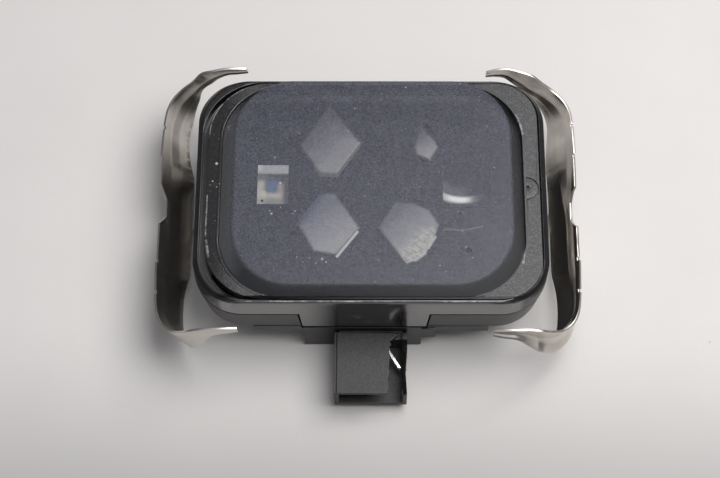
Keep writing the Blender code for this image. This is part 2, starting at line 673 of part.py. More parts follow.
def clip_stations():
    """Upper and lower edge of the strip, from the middle of its side to the tip of its rear arm.

    Each station's x is measured from the housing's side and its y from the housing's end, apart
    from the first station, which lies on the plane of symmetry.
    """
    stations = [
        ((0.0063, 0.0000, 0.0128), (0.0021, 0.0000, 0.0032)),
        ((0.0063, -0.0131, 0.0128), (0.0021, -0.0131, 0.0032)),
        ((0.0063, -0.0107, 0.0128), (0.0023, -0.0107, 0.0042)),
        ((0.0062, -0.0077, 0.0128), (0.0026, -0.0077, 0.0050)),
        ((0.0061, -0.0047, 0.0127), (0.0027, -0.0045, 0.0050)),
        ((0.0057, -0.0017, 0.0126), (0.0024, -0.0012, 0.0052)),
        ((0.0046, 0.0007, 0.0128), (0.0016, 0.0013, 0.0060)),
        ((0.0026, 0.0025, 0.0136), (0.0002, 0.0030, 0.0078)),
        ((0.0005, 0.0034, 0.0151), (-0.0017, 0.0037, 0.0100)),
        ((-0.0014, 0.0038, 0.0165), (-0.0034, 0.0038, 0.0120)),
        ((-0.0036, 0.0039, 0.0172), (-0.0050, 0.0039, 0.0140)),
        ((-0.0058, 0.0040, 0.0174), (-0.0064, 0.0040, 0.0150)),
        ((-0.0080, 0.0039, 0.0172), (-0.0082, 0.0039, 0.0151)),
        ((-0.0101, 0.0037, 0.0166), (-0.0101, 0.0037, 0.0152)),
    ]
    placed = []
    for index, edges in enumerate(stations):
        end = HOUSING_DEPTH / 2 if index else 0.0
        placed.append(tuple((HOUSING_WIDTH / 2 + x, end + y, z) for x, y, z in edges))
    return placed


def spline_through(points, steps):
    """A Catmull-Rom curve through points, with a number of steps to each stretch."""
    points = [Vector(point) for point in points]
    padded = [2 * points[0] - points[1]] + points + [2 * points[-1] - points[-2]]
    result = []
    for index in range(1, len(padded) - 2):
        a, b, c, d = padded[index - 1:index + 3]
        for step in range(steps):
            t = step / steps
            result.append(0.5 * (2 * b + (c - a) * t + (2 * a - 5 * b + 4 * c - d) * t ** 2
                                 + (3 * b - a - 3 * c + d) * t ** 3))
    result.append(points[-1])
    return result


def clip_rows(steps):
    """The strip's rows across its width, from one arm's tip to the other's."""
    half = clip_stations()
    tops = spline_through([top for top, _ in half], steps)
    lows = spline_through([low for _, low in half], steps)
    rows = []
    for index, (top, low) in enumerate(zip(tops, lows)):
        after = tops[min(index + 1, len(tops) - 1)]
        before = tops[max(index - 1, 0)]
        along = (after - before).normalized()
        outward = along.cross(low - top).normalized()
        if outward.dot(Vector((1, 1, 0))) < 0:
            outward = -outward
        fade = min(1.0, (low - top).length / CREASE_FULL_WIDTH)
        rows.append([top.lerp(low, place) + outward * stand * fade for place, stand in CREASES])
    mirrored = [[Vector((point.x, -point.y, point.z)) for point in row] for row in rows[:0:-1]]
    return mirrored + rows


def clip_strip(steps):
    """The formed strip as a closed sheet of the clip's thickness."""
    bm = bmesh.new()
    grid = [[bm.verts.new(point) for point in row] for row in clip_rows(steps)]
    for row, following in zip(grid[:-1], grid[1:]):
        for i in range(len(row) - 1):
            bm.faces.new((row[i], following[i], following[i + 1], row[i + 1]))
    bmesh.ops.recalc_face_normals(bm, faces=bm.faces)
    return thicken(bm, CLIP_THICKNESS)


def thicken(bm, thickness):
    """Give an open sheet a thickness, half to each side."""
    mesh = bpy.data.meshes.new("sheet")
    bm.to_mesh(mesh)
    bm.free()
    sheet = bpy.data.objects.new("sheet", mesh)
    bpy.context.scene.collection.objects.link(sheet)
    solidify = sheet.modifiers.new("solidify", "SOLIDIFY")
    solidify.thickness = thickness
    solidify.offset = 0.0
    solidify.use_even_offset = True
    depsgraph = bpy.context.evaluated_depsgraph_get()
    closed = bmesh.new()
    closed.from_object(sheet, depsgraph)
    bpy.data.objects.remove(sheet, do_unlink=True)
    bpy.data.meshes.remove(mesh)
    bmesh.ops.recalc_face_normals(closed, faces=closed.faces)
    return closed


def clip_hook():
    """The strip's foot, which passes under the housing and curls round the hinge pin."""
    top, low = (Vector(point) for point in clip_stations()[0])
    start = low.lerp(top, HOOK_OVERLAP)
    path = [start, low, Vector((HINGE_X + HOOK_TURN_REACH, 0, HINGE_Z - HOOK_TURN_DROP)),
            Vector((HINGE_X + HOOK_EYE_REACH, 0, HINGE_Z - EYE_RADIUS + CLIP_THICKNESS / 2))]
    for degrees in HOOK_CURL_DEGREES:
        angle = math.radians(degrees)
        across, up = EYE_RADIUS * math.cos(angle), EYE_RADIUS * math.sin(angle)
        path.append(Vector((HINGE_X + across, 0, HINGE_Z + up)))
    bm = bmesh.new()
    rows = []
    for end in (-1, 1):
        rows.append([bm.verts.new((point.x, end * HOOK_HALF_WIDTH, point.z)) for point in path])
    for i in range(len(path) - 1):
        bm.faces.new((rows[0][i], rows[0][i + 1], rows[1][i + 1], rows[1][i]))
    bmesh.ops.recalc_face_normals(bm, faces=bm.faces)
    return thicken(bm, CLIP_THICKNESS * HOOK_THICKNESS_SHARE)


def recess_outline(shift):
    """The notch in the middle of the clip's top edge, across Y and along the web."""
    half = RECESS_HALF_WIDTH
    wide = half + RECESS_RAMP
    outline = [(-wide - OVERSHOOT, OVERSHOOT), (-wide, 0), (-half, -RECESS_DEPTH), (half, -RECESS_DEPTH),
               (wide, 0), (wide + OVERSHOOT, OVERSHOOT)]
    return [(y + shift, down) for y, down in outline]


def web_cutter(outline):
    """An outline across Y and down the web, made a solid that passes through the strip."""
    top, low = (Vector(point) for point in clip_stations()[0])
    down = (top - low).normalized()
    across = Vector((0, 1, 0))
    bm = prism(outline, -OVERSHOOT, OVERSHOOT)
    axes = Matrix((across, down, across.cross(down))).transposed().to_4x4()
    bmesh.ops.transform(bm, matrix=Matrix.Translation(top) @ axes, verts=bm.verts)
    bmesh.ops.recalc_face_normals(bm, faces=bm.faces)
    return bm


def make_clip(name, side, swing, recess_shift, material):
    """One clip. The side is -1 on the left, and the swing turns it outwards about its pin."""
    clip = part(name, clip_strip(3), material)
    join(clip, clip_hook())
    cut(clip, web_cutter(recess_outline(recess_shift)))
    for place in NICK_PLACES:
        for end in (-1, 1):
            near, far = end * place, end * (place + NICK_WIDTH)
            low, high = min(near, far), max(near, far)
            nick = [(low, -NICK_DEPTH), (high, -NICK_DEPTH), (high, OVERSHOOT), (low, OVERSHOOT)]
            cut(clip, web_cutter(nick))
    move_to_hinge(clip, side, swing)
    return clip


def move_to_hinge(clip, side, swing):
    """Apply the clip's modifiers and give it an origin on its pin, swung and mirrored as its side needs."""
    shaped = bmesh.new()
    shaped.from_object(clip, bpy.context.evaluated_depsgraph_get())
    clip.modifiers.clear()
    turn = Matrix.Rotation(swing, 4, "Y")
    to_pin = Matrix.Translation((-HINGE_X, 0, -HINGE_Z))
    bmesh.ops.transform(shaped, matrix=turn @ to_pin, verts=shaped.verts)
    if side < 0:
        bmesh.ops.scale(shaped, vec=(-1, 1, 1), verts=shaped.verts)
        bmesh.ops.reverse_faces(shaped, faces=shaped.faces)
    shaped.to_mesh(clip.data)
    shaped.free()
    clip.location = (side * HINGE_X, 0, HINGE_Z)


def make_hinge_pins(material):
    half = EAR_Y + EAR_THICKNESS
    for name, side in (("hinge_pin_left", -1), ("hinge_pin_right", 1)):
        x = side * HINGE_X
        part(name, cylinder(HINGE_PIN_RADIUS, (x, -half, HINGE_Z), (x, half, HINGE_Z), segments=16), material)


# ---------------------------------------------------------------- assembly

def main():
    black = principled("black_plastic", (0.018, 0.018, 0.020), 0.38)
    cover_black = principled("cover_plastic", (0.020, 0.020, 0.022), 0.45)
    silicone = principled("silicone", (0.16, 0.17, 0.20), 0.30, alpha=0.6)
    clear = principled("clear_lens", (0.55, 0.57, 0.60), 0.15)
    steel = principled("spring_steel", (0.62, 0.60, 0.57), 0.28, 1.0)
    rubber = principled("seal_rubber", (0.03, 0.03, 0.03), 0.8)
    resin = principled("board_resin", (0.02, 0.12, 0.05), 0.5)
    tin = principled("tinned_contact", (0.80, 0.79, 0.76), 0.22, 1.0)
    chips = {
        "dark_epoxy": principled("dark_epoxy", (0.02, 0.02, 0.022), 0.5),
        "clear_epoxy": principled("clear_epoxy", (0.45, 0.50, 0.55), 0.2),
        "white_epoxy": principled("white_epoxy", (0.7, 0.7, 0.68), 0.5),
        "can": principled("capacitor_can", (0.7, 0.7, 0.7), 0.3, 1.0),
    }
    make_upper_housing(black)
    make_rear_cover(cover_black)
    make_pad(silicone)
    make_pad_frame(black)
    make_lens_plate(black)
    make_lenses(clear)
    make_board(resin)
    make_mask(black)
    make_chips(chips)
    make_seal(rubber)
    make_shroud(black)
    make_contacts(tin)
    make_clip("clip_right", 1, 0.0, 0.0, steel)
    make_clip("clip_left", -1, LEFT_CLIP_SWING, LEFT_RECESS_SHIFT, steel)
    make_hinge_pins(tin)


clear_scene()
PARTS = new_collection(MODEL_NAME)
CUTTERS = new_collection(f"{MODEL_NAME}_cutters")
main()
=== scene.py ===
"""A windscreen rain and light sensor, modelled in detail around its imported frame.

The module is a black housing of two shells with a clear coupling pad over its light windows,
a three-way socket in front and two sprung steel clips that turn on pins under the cover.
Lengths are metres in the meshes and millimetres in the materials.
"""

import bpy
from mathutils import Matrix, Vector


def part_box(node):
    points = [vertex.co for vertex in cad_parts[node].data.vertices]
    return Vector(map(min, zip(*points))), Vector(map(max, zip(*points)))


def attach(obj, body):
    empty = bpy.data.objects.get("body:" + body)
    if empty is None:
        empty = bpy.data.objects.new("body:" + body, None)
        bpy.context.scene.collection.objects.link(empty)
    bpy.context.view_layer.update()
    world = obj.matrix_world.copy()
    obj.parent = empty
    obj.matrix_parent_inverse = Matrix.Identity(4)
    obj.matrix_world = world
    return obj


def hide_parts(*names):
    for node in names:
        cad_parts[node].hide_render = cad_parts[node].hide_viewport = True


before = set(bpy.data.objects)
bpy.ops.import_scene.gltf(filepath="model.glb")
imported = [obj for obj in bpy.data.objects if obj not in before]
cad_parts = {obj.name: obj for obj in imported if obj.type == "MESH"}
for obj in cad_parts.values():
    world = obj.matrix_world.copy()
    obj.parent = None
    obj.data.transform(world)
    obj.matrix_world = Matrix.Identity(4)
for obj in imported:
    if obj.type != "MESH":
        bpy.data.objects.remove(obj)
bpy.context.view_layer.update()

import logging
import math
import random
from contextlib import contextmanager
from dataclasses import dataclass, field
from enum import Enum
from typing import Any, Callable, Iterator, Optional, Sequence, Union

import bmesh
import bpy
from mathutils import Matrix, Quaternion, Vector
from mathutils.geometry import convex_hull_2d

LOG = logging.getLogger("rain_light_sensor")
MM = 0.001
CLEAN_DISTANCE = 0.000002
# How near two places, two heights, and a place and an edge that is looked for, count as the same.
SAME_PLACE = 1e-7
SAME_LEVEL = 1e-6
NEARBY = 1e-5
# LAP is how deep two welded shapes share their matter, and PAST is how far a cutting tool stands
# out of the face that it opens.
LAP = 0.0003
PAST = 0.001

Pair = tuple[float, float]
Triple = tuple[float, float, float]
Point = Pair
Colour = Triple
Number = Union[int, float]


class Body(Enum):
    """The rigid bodies of the frame."""

    HOUSING = "housing"
    CLIP_LEFT = "clip_left"
    CLIP_RIGHT = "clip_right"


class Side(Enum):
    """Which side of the housing a clip stands on."""

    LEFT = -1
    RIGHT = 1


class Pick(Enum):
    """What is selected in edit mode, and the bmesh list that holds it."""

    EDGE = "edges"
    FACE = "faces"


# ---------------------------------------------------------------- modelling bench

class Workpiece:
    """One mesh on the bench, shaped with the moves that a modeller makes by hand."""

    def __init__(self, obj: bpy.types.Object) -> None:
        """Take an object onto the bench."""
        self.obj = obj

    # ------------------------------------------------ starting shapes

    @staticmethod
    def clear_bench() -> None:
        """Let go of every object."""
        for obj in bpy.context.selected_objects:
            obj.select_set(False)

    @classmethod
    def named(cls, name: str) -> "Workpiece":
        """Name the primitive that was just added and give it a plain transform.

        Args:
            name: The piece's name.

        Returns:
            The piece.
        """
        obj = bpy.context.object
        obj.name = obj.data.name = name
        bpy.ops.object.transform_apply(location=True, rotation=True, scale=True)
        return cls(obj)

    @classmethod
    def block(cls, name: str, low: Sequence[float], high: Sequence[float]) -> "Workpiece":
        """Add a box between two corners.

        Args:
            name: The piece's name.
            low: Its lowest corner.
            high: Its highest corner.

        Returns:
            The new piece.
        """
        cls.clear_bench()
        centre = (Vector(low) + Vector(high)) / 2
        bpy.ops.mesh.primitive_cube_add(size=1.0, location=centre)
        bpy.context.object.scale = Vector(high) - Vector(low)
        return cls.named(name)

    @classmethod
    def slab(cls, name: str, size: Point, radius: float, levels: Point,
             centre: Point = (0.0, 0.0), segments: int = 14) -> "Workpiece":
        """Add a box with rounded upright edges.

        Args:
            name: The piece's name.
            size: Its width and depth.
            radius: The radius of its upright edges.
            levels: Its lower and upper height.
            centre: Its middle, seen from above.
            segments: How many faces round each corner.

        Returns:
            The new piece.
        """
        (width, depth), (x, y) = size, centre
        piece = cls.block(name, (x - width / 2, y - depth / 2, levels[0]),
                          (x + width / 2, y + depth / 2, levels[1]))
        return piece.bevel(is_upright, radius, segments)

    @classmethod
    def rod(cls, name: str, radius: float, start: Sequence[float], end: Sequence[float],
            segments: int) -> "Workpiece":
        """Add a round bar.

        Args:
            name: The piece's name.
            radius: Its radius.
            start: The middle of its first end.
            end: The middle of its other end.
            segments: How many faces it has round it.

        Returns:
            The new piece.
        """
        cls.clear_bench()
        start, end = Vector(start), Vector(end)
        turn = (end - start).to_track_quat("Z", "Y").to_euler()
        bpy.ops.mesh.primitive_cylinder_add(vertices=segments, radius=radius, rotation=turn,
                                            depth=(end - start).length, location=(start + end) / 2)
        return cls.named(name)

    @classmethod
    def outline(cls, name: str, points: Sequence[Point], low: float, high: float,
                corner: float = 0.0) -> "Workpiece":
        """Add a flat outline raised between two heights.

        Args:
            name: The piece's name.
            points: The outline's corners, counterclockwise.
            low: The lower height.
            high: The upper height.
            corner: The radius of its upright edges, or 0.

        Returns:
            The new piece.
        """
        cls.clear_bench()
        bpy.ops.mesh.primitive_circle_add(vertices=len(points), radius=1.0, fill_type="NGON")
        for vert, (x, y) in zip(bpy.context.object.data.vertices, points):
            vert.co = (x, y, low)
        piece = cls.named(name)
        with piece.editing():
            bpy.ops.mesh.select_all(action="SELECT")
            piece.extrude((0.0, 0.0, high - low))
            bpy.ops.mesh.select_all(action="SELECT")
            bpy.ops.mesh.normals_make_consistent(inside=False)
        return piece.bevel(is_upright, corner, 4) if corner else piece

    @classmethod
    def sheet(cls, name: str, rows: Sequence[Sequence[Vector]]) -> "Workpiece":
        """Add a grid and lay it along rows of points.

        Args:
            name: The piece's name.
            rows: Equal rows of points.

        Returns:
            The new piece, still without a thickness.
        """
        cls.clear_bench()
        across, along = len(rows[0]), len(rows)
        bpy.ops.mesh.primitive_grid_add(x_subdivisions=across - 1, y_subdivisions=along - 1, size=1.0)
        for vert, point in zip(bpy.context.object.data.vertices, (p for row in rows for p in row)):
            vert.co = point
        return cls.named(name)

    @classmethod
    def corner_waste(cls, corner: Point, inward: tuple[int, int], radius: float,
                     levels: Point) -> "Workpiece":
        """Add what a larger radius takes off an upright corner.

        Args:
            corner: Where the corner would be if it were sharp.
            inward: The sign of the way into the piece on X and on Y.
            radius: The larger radius.
            levels: The lower and upper height of the tool.

        Returns:
            The tool.
        """
        (x, y), (right, up), spare, steps = corner, inward, 2 * PAST, 16
        arc = []
        for step in range(steps + 1):
            turn = math.pi / 2 * step / steps
            arc.append((x + right * radius * (1 - math.cos(turn)), y + up * radius * (1 - math.sin(turn))))
        points = [(x, y + up * (radius + spare)), *arc, (x + right * (radius + spare), y),
                  (x + right * (radius + spare), y - up * spare),
                  (x - right * spare, y - up * spare), (x - right * spare, y + up * (radius + spare))]
        if right * up < 0:
            points.reverse()
        return cls.outline("corner_waste", points, *levels)

    # ------------------------------------------------ edit mode

    def hold(self) -> None:
        """Make this the only selected piece, and the active one."""
        self.clear_bench()
        self.obj.select_set(True)
        bpy.context.view_layer.objects.active = self.obj

    @contextmanager
    def editing(self) -> Iterator[None]:
        """Stay in edit mode for as long as the block runs.

        Returns:
            A context that yields nothing.
        """
        self.hold()
        bpy.ops.object.mode_set(mode="EDIT")
        yield
        bpy.ops.object.mode_set(mode="OBJECT")

    def pick(self, kind: Pick, test: Callable[[Any], bool]) -> int:
        """Select the vertices, edges or faces that pass a test, and nothing else.

        Args:
            kind: What is selected.
            test: Says whether an item is wanted.

        Returns:
            How many items were selected.
        """
        bpy.ops.mesh.select_mode(type=kind.name)
        bpy.ops.mesh.select_all(action="DESELECT")
        shape = bmesh.from_edit_mesh(self.obj.data)
        wanted = [item for item in getattr(shape, kind.value) if test(item)]
        for item in wanted:
            item.select_set(True)
        shape.select_flush_mode()
        bmesh.update_edit_mesh(self.obj.data)
        return len(wanted)

    @staticmethod
    def extrude(move: Sequence[float]) -> None:
        """Draw the selected faces or edges out along a move."""
        bpy.ops.mesh.extrude_region_move(TRANSFORM_OT_translate={"value": tuple(move)})

    def step_in(self, z: float, rise: float, insets: Point, size: Point,
                centre: Point = (0.0, 0.0)) -> "Workpiece":
        """Extrude the level faces at a height and draw them in, so that the new sides slope.

        Args:
            z: The height of the faces.
            rise: How far they are drawn out, downwards when negative.
            insets: How far they are drawn in on X and on Y.
            size: The width and depth there.
            centre: The middle that they are drawn to.

        Returns:
            The same piece.
        """
        factors = tuple(1 - 2 * inset / length for inset, length in zip(insets, size))
        with self.editing():
            self.pick(Pick.FACE, lambda face: lies_level_at(face, z))
            if rise:
                self.extrude((0.0, 0.0, rise))
            bpy.ops.transform.resize(value=(*factors, 1.0), center_override=(*centre, z + rise))
        return self

    def bevel(self, test: Callable[[Any], bool], width: float, segments: int) -> "Workpiece":
        """Round the edges that pass a test.

        Args:
            test: True for an edge that is rounded.
            width: How far the rounding goes from the edge.
            segments: How many faces it has across.

        Returns:
            The same piece.
        """
        with self.editing():
            if self.pick(Pick.EDGE, test):
                bpy.ops.mesh.bevel(offset=width, segments=segments, profile=0.5, affect="EDGES")
        return self

    def recalculate(self) -> "Workpiece":
        """Merge what coincides and point every face outwards.

        Returns:
            The same piece.
        """
        with self.editing():
            bpy.ops.mesh.select_all(action="SELECT")
            bpy.ops.mesh.remove_doubles(threshold=CLEAN_DISTANCE)
            bpy.ops.mesh.normals_make_consistent(inside=False)
        return self

    # ------------------------------------------------ modifiers

    def modify(self, kind: str, **settings: Any) -> "Workpiece":
        """Add a modifier and apply it.

        Args:
            kind: Its type.
            settings: Its properties.

        Returns:
            The same piece.
        """
        self.hold()
        modifier = self.obj.modifiers.new(kind.lower(), kind)
        for key, value in settings.items():
            setattr(modifier, key, value)
        bpy.ops.object.modifier_apply(modifier=modifier.name)
        return self

    def _combine(self, operation: str, tools: Sequence["Workpiece"]) -> "Workpiece":
        """Combine with other pieces, which are used up.

        Args:
            operation: How they are combined.
            tools: The other pieces.

        Returns:
            The same piece.
        """
        for tool in tools:
            self.modify("BOOLEAN", object=tool.obj, operation=operation, solver="EXACT")
            bpy.data.objects.remove(tool.obj, do_unlink=True)
        return self

    def cut(self, *tools: "Workpiece") -> "Workpiece":
        """Take each tool away from the piece."""
        return self._combine("DIFFERENCE", tools)

    def join(self, *tools: "Workpiece") -> "Workpiece":
        """Weld each tool to the piece."""
        return self._combine("UNION", tools)

    def soften(self, width: float, angle: float = 32.0) -> "Workpiece":
        """Round every edge sharper than an angle, and shade the faces evenly.

        A mitre on a very sharp corner can run out of the piece, and is brought back to its box.

        Args:
            width: The rounding's width.
            angle: The least angle of an edge that is rounded, in degrees.

        Returns:
            The same piece.
        """
        self.recalculate()
        self.modify("TRIANGULATE", min_vertices=5, ngon_method="BEAUTY")
        spans = [(min(axis), max(axis)) for axis in zip(*(vert.co for vert in self.obj.data.vertices))]
        self.modify("BEVEL", width=width, segments=2, limit_method="ANGLE",
                    angle_limit=math.radians(angle), use_clamp_overlap=False, miter_outer="MITER_ARC")
        for vert in self.obj.data.vertices:
            vert.co = [min(max(value, low), high) for value, (low, high) in zip(vert.co, spans)]
        return self.shade()

    def shade(self, angle: float = 38.0) -> "Workpiece":
        """Shade the piece smooth but for its sharp edges.

        Args:
            angle: The least angle of an edge that stays sharp, in degrees.

        Returns:
            The same piece.
        """
        self.hold()
        bpy.ops.object.shade_smooth_by_angle(angle=math.radians(angle))
        return self.modify("WEIGHTED_NORMAL", keep_sharp=True, weight=60)

    def copied(self, name: str, move: Sequence[float]) -> "Workpiece":
        """Make a moved copy with a mesh of its own.

        Args:
            name: The copy's name.
            move: How far it lies from the piece.

        Returns:
            The copy.
        """
        obj = self.obj.copy()
        obj.data = self.obj.data.copy()
        obj.name = obj.data.name = name
        bpy.context.scene.collection.objects.link(obj)
        return Workpiece(obj).place(Matrix.Translation(move))

    def repeated(self, *moves: Sequence[float]) -> list["Workpiece"]:
        """The piece, and a copy of it at each move."""
        return [self, *(self.copied(self.obj.name, move) for move in moves)]

    def place(self, matrix: Matrix) -> "Workpiece":
        """Turn or move the mesh, its object staying at the origin.

        Args:
            matrix: The move. One that mirrors the mesh turns its faces outwards again.

        Returns:
            The same piece.
        """
        self.obj.data.transform(matrix)
        if matrix.determinant() < 0:
            self.obj.data.flip_normals()
        return self

    def deliver(self, body: Body, slot: str, material: bpy.types.Material, *nodes: str) -> bpy.types.Object:
        """Dress the finished piece and hang it on its body.

        Args:
            body: The body that it moves with.
            slot: The record's material slot. Not used.
            material: Its finish.
            nodes: The frame nodes that it stands for.

        Returns:
            The piece's object.
        """
        self.obj.data.materials.clear()
        self.obj.data.materials.append(material)
        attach(self.obj, body.value)
        if nodes:
            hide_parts(*nodes)
        LOG.info("%s: %d faces on %s", self.obj.name, len(self.obj.data.polygons), body.value)
        return self.obj


def is_upright(edge: bmesh.types.BMEdge) -> bool:
    """Whether an edge stands upright."""
    start, end = (vert.co for vert in edge.verts)
    return math.hypot(start.x - end.x, start.y - end.y) < SAME_PLACE


def lies_level_at(item: Any, z: float) -> bool:
    """Whether an edge or face lies level at a height."""
    return all(abs(vert.co.z - z) < SAME_LEVEL for vert in item.verts)


# ---------------------------------------------------------------- node maths

class Signal:
    """A value, colour or direction between two nodes, with the arithmetic that is used on it."""

    def __init__(self, graph: "Graph", socket: bpy.types.NodeSocket) -> None:
        """Wrap one output of a node."""
        self.graph = graph
        self.socket = socket

    def _maths(self, operation: str, *terms: "Term", clamp: bool = False) -> "Signal":
        """Add a Math node on these terms."""
        return self.graph.node("ShaderNodeMath", {"operation": operation, "use_clamp": clamp},
                               dict(enumerate(terms)))

    def __add__(self, other: "Term") -> "Signal":
        """Add."""
        return self._maths("ADD", self, other)

    __radd__ = __add__

    def __sub__(self, other: "Term") -> "Signal":
        """Subtract."""
        return self._maths("SUBTRACT", self, other)

    def __rsub__(self, other: "Term") -> "Signal":
        """Subtract from a number."""
        return self._maths("SUBTRACT", other, self)

    def __mul__(self, other: "Term") -> "Signal":
        """Multiply."""
        return self._maths("MULTIPLY", self, other)

    __rmul__ = __mul__

    def __truediv__(self, other: "Term") -> "Signal":
        """Divide."""
        return self._maths("DIVIDE", self, other)

    def __pow__(self, other: "Term") -> "Signal":
        """Raise to a power."""
        return self._maths("POWER", self, other)

    def __abs__(self) -> "Signal":
        """Drop the sign."""
        return self._maths("ABSOLUTE", self)

    def clamped(self) -> "Signal":
        """Hold between 0 and 1."""
        return self._maths("ADD", self, 0.0, clamp=True)

    def at_least(self, other: "Term") -> "Signal":
        """Take the larger of two."""
        return self._maths("MAXIMUM", self, other)

    def at_most(self, other: "Term") -> "Signal":
        """Take the smaller of two."""
        return self._maths("MINIMUM", self, other)

    def rise(self, low: float, high: float) -> "Signal":
        """Go smoothly from 0 to 1.

        Args:
            low: Where it is 0.
            high: Where it is 1, which can be the lower of the two.

        Returns:
            The step.
        """
        start, end = (0.0, 1.0) if low < high else (1.0, 0.0)
        return self.graph.node(
            "ShaderNodeMapRange", {"interpolation_type": "SMOOTHSTEP", "clamp": True},
            {"Value": self, "From Min": min(low, high), "From Max": max(low, high),
             "To Min": start, "To Max": end})


Term = Union[Signal, Number]


class Graph:
    """A material's nodes, built around one Principled shader."""

    def __init__(self, name: str) -> None:
        """Start a material with a shader and its coordinates in millimetres.

        Args:
            name: The material's name.
        """
        self.material = bpy.data.materials.new(name)
        self.material.use_nodes = True
        self.tree = self.material.node_tree
        self.shader = self.tree.nodes["Principled BSDF"]
        coordinates = self.tree.nodes.new("ShaderNodeTexCoord")
        self.place = self.node("ShaderNodeMapping", {}, {
            "Vector": Signal(self, coordinates.outputs["Object"]), "Scale": (1 / MM,) * 3})
        parts = self.node("ShaderNodeSeparateXYZ", {}, {0: self.place}).socket.node
        self.x, self.y, self.z = (Signal(self, socket) for socket in parts.outputs)

    def node(self, kind: str, settings: dict[str, Any], inputs: dict[Any, Any],
             output: Union[int, str] = 0) -> Signal:
        """Add one node.

        Args:
            kind: The node's type.
            settings: Its properties, which are set first.
            inputs: Its sockets, by name or number, each given a value or a signal.
            output: The output that is wanted.

        Returns:
            That output.
        """
        node = self.tree.nodes.new(kind)
        for key, value in settings.items():
            setattr(node, key, value)
        for key, value in inputs.items():
            self._feed(node.inputs[key], value)
        return Signal(self, node.outputs[output])

    def _feed(self, socket: bpy.types.NodeSocket, value: Any) -> None:
        """Link a signal to a socket, or set a value on it.

        Args:
            socket: The node's input.
            value: A signal, a number, a vector or a colour.
        """
        if isinstance(value, Signal):
            self.tree.links.new(value.socket, socket)
        elif socket.type == "RGBA" and len(value) == 3:
            socket.default_value = (*value, 1.0)
        else:
            socket.default_value = value

    def shade(self, **inputs: Any) -> bpy.types.Material:
        """Set the shader's sockets, whose names have an underscore for each space.

        Args:
            inputs: A value or a signal for each socket that is set.

        Returns:
            The finished material.
        """
        for key, value in inputs.items():
            self._feed(self.shader.inputs[key.replace("_", " ")], value)
        return self.material

    # ------------------------------------------------ patterns

    def noise(self, size: float, detail: float = 3.0, roughness: float = 0.5,
              stretch: Sequence[float] = (1.0, 1.0, 1.0), turn: float = 0.0) -> Signal:
        """Soft noise whose features measure about a size in millimetres.

        Args:
            size: The features' size.
            detail: How many finer layers are added.
            roughness: How strong they are.
            stretch: A factor on the size along each axis.
            turn: The turn of the pattern about Z, in degrees.

        Returns:
            A value about 0.5.
        """
        moved = self.node("ShaderNodeMapping", {}, {
            "Vector": self.place, "Rotation": (0.0, 0.0, math.radians(turn)),
            "Scale": tuple(1 / (size * factor) for factor in stretch)})
        return self.node("ShaderNodeTexNoise", {}, {
            "Vector": moved, "Scale": 1.0, "Detail": detail, "Roughness": roughness})

    def specks(self, spacing: float, radius: float, share: float) -> Signal:
        """Small round specks, one in some of the cells of a scattered grid.

        Args:
            spacing: The cells' size in millimetres.
            radius: The largest speck's radius in millimetres.
            share: The share of the cells that hold one.

        Returns:
            1 on a speck and 0 off it.
        """
        cells = self.node("ShaderNodeTexVoronoi", {"feature": "F1"}, {
            "Vector": self.place, "Scale": 1 / spacing, "Randomness": 1.0}).socket.node
        luck = self.node("ShaderNodeSeparateColor", {}, {0: Signal(self, cells.outputs["Color"])})
        chosen = luck.rise(share, share * 0.98)
        size = Signal(self, luck.socket.node.outputs[1]) * 0.7 + 0.3
        reach = Signal(self, cells.outputs["Distance"]) / (size * (radius / spacing))
        return reach.rise(1.3, 0.7) * chosen

    @staticmethod
    def band(axis: Signal, low: float, high: float, soft: float) -> Signal:
        """1 between two places on an axis and 0 outside them, with soft ends."""
        return axis.rise(low - soft / 2, low + soft / 2) * axis.rise(high + soft / 2, high - soft / 2)

    def patch(self, low: Point, high: Point, soft: float) -> Signal:
        """A soft-edged rectangle, seen from above."""
        return self.band(self.x, low[0], high[0], soft) * self.band(self.y, low[1], high[1], soft)

    def inside(self, outline: Sequence[Point], fade: float, start_at: float = 0.0) -> Signal:
        """Go from 0 at the edge of an outline to 1 well inside it.

        Args:
            outline: Its corners, of which the inward ones are left out.
            fade: How far from the edge the value reaches 1.
            start_at: How far from the edge it leaves 0, negative outside.

        Returns:
            The value, which is lowest nearest to an edge.
        """
        corners = [outline[index] for index in convex_hull_2d(outline)]
        depth: Optional[Signal] = None
        for start, end in zip(corners, (*corners[1:], corners[0])):
            ahead = (Vector(end) - Vector(start)).normalized()
            offset = start[1] * ahead.x - start[0] * ahead.y
            off = self.y * ahead.x - self.x * ahead.y - offset
            depth = off if depth is None else depth.at_most(off)
        return depth.rise(start_at, fade)

    def reach(self, centre: Point) -> Signal:
        """The distance from an upright axis."""
        across, along = self.x - centre[0], self.y - centre[1]
        return (across * across + along * along) ** 0.5

    def dot(self, centre: Point, radius: float, soft: float) -> Signal:
        """A soft-edged round spot, seen from above."""
        return self.reach(centre).rise(radius + soft / 2, radius - soft / 2)

    def ring(self, centre: Point, radius: float, width: float, soft: float) -> Signal:
        """A soft-edged round line, seen from above."""
        return abs(self.reach(centre) - radius).rise(width / 2 + soft, width / 2)

    def stroke(self, start: Point, end: Point, width: float, soft: float) -> Signal:
        """A soft-edged straight line, seen from above.

        Args:
            start: Where it starts.
            end: Where it ends.
            width: Its width.
            soft: How wide its soft edge is.

        Returns:
            1 on the line and 0 off it.
        """
        step = Vector(end) - Vector(start)
        length = step.length
        ahead, aside = step.normalized(), Vector((-step.y, step.x)).normalized()
        across, along = self.x - start[0], self.y - start[1]
        run = across * ahead.x + along * ahead.y
        off = abs(across * aside.x + along * aside.y)
        over = (0.0 - run).at_least(run - length).at_least(0.0)
        reach = (over * over + off * off) ** 0.5
        return reach.rise(width / 2 + soft, width / 2)

    # ------------------------------------------------ colours and relief

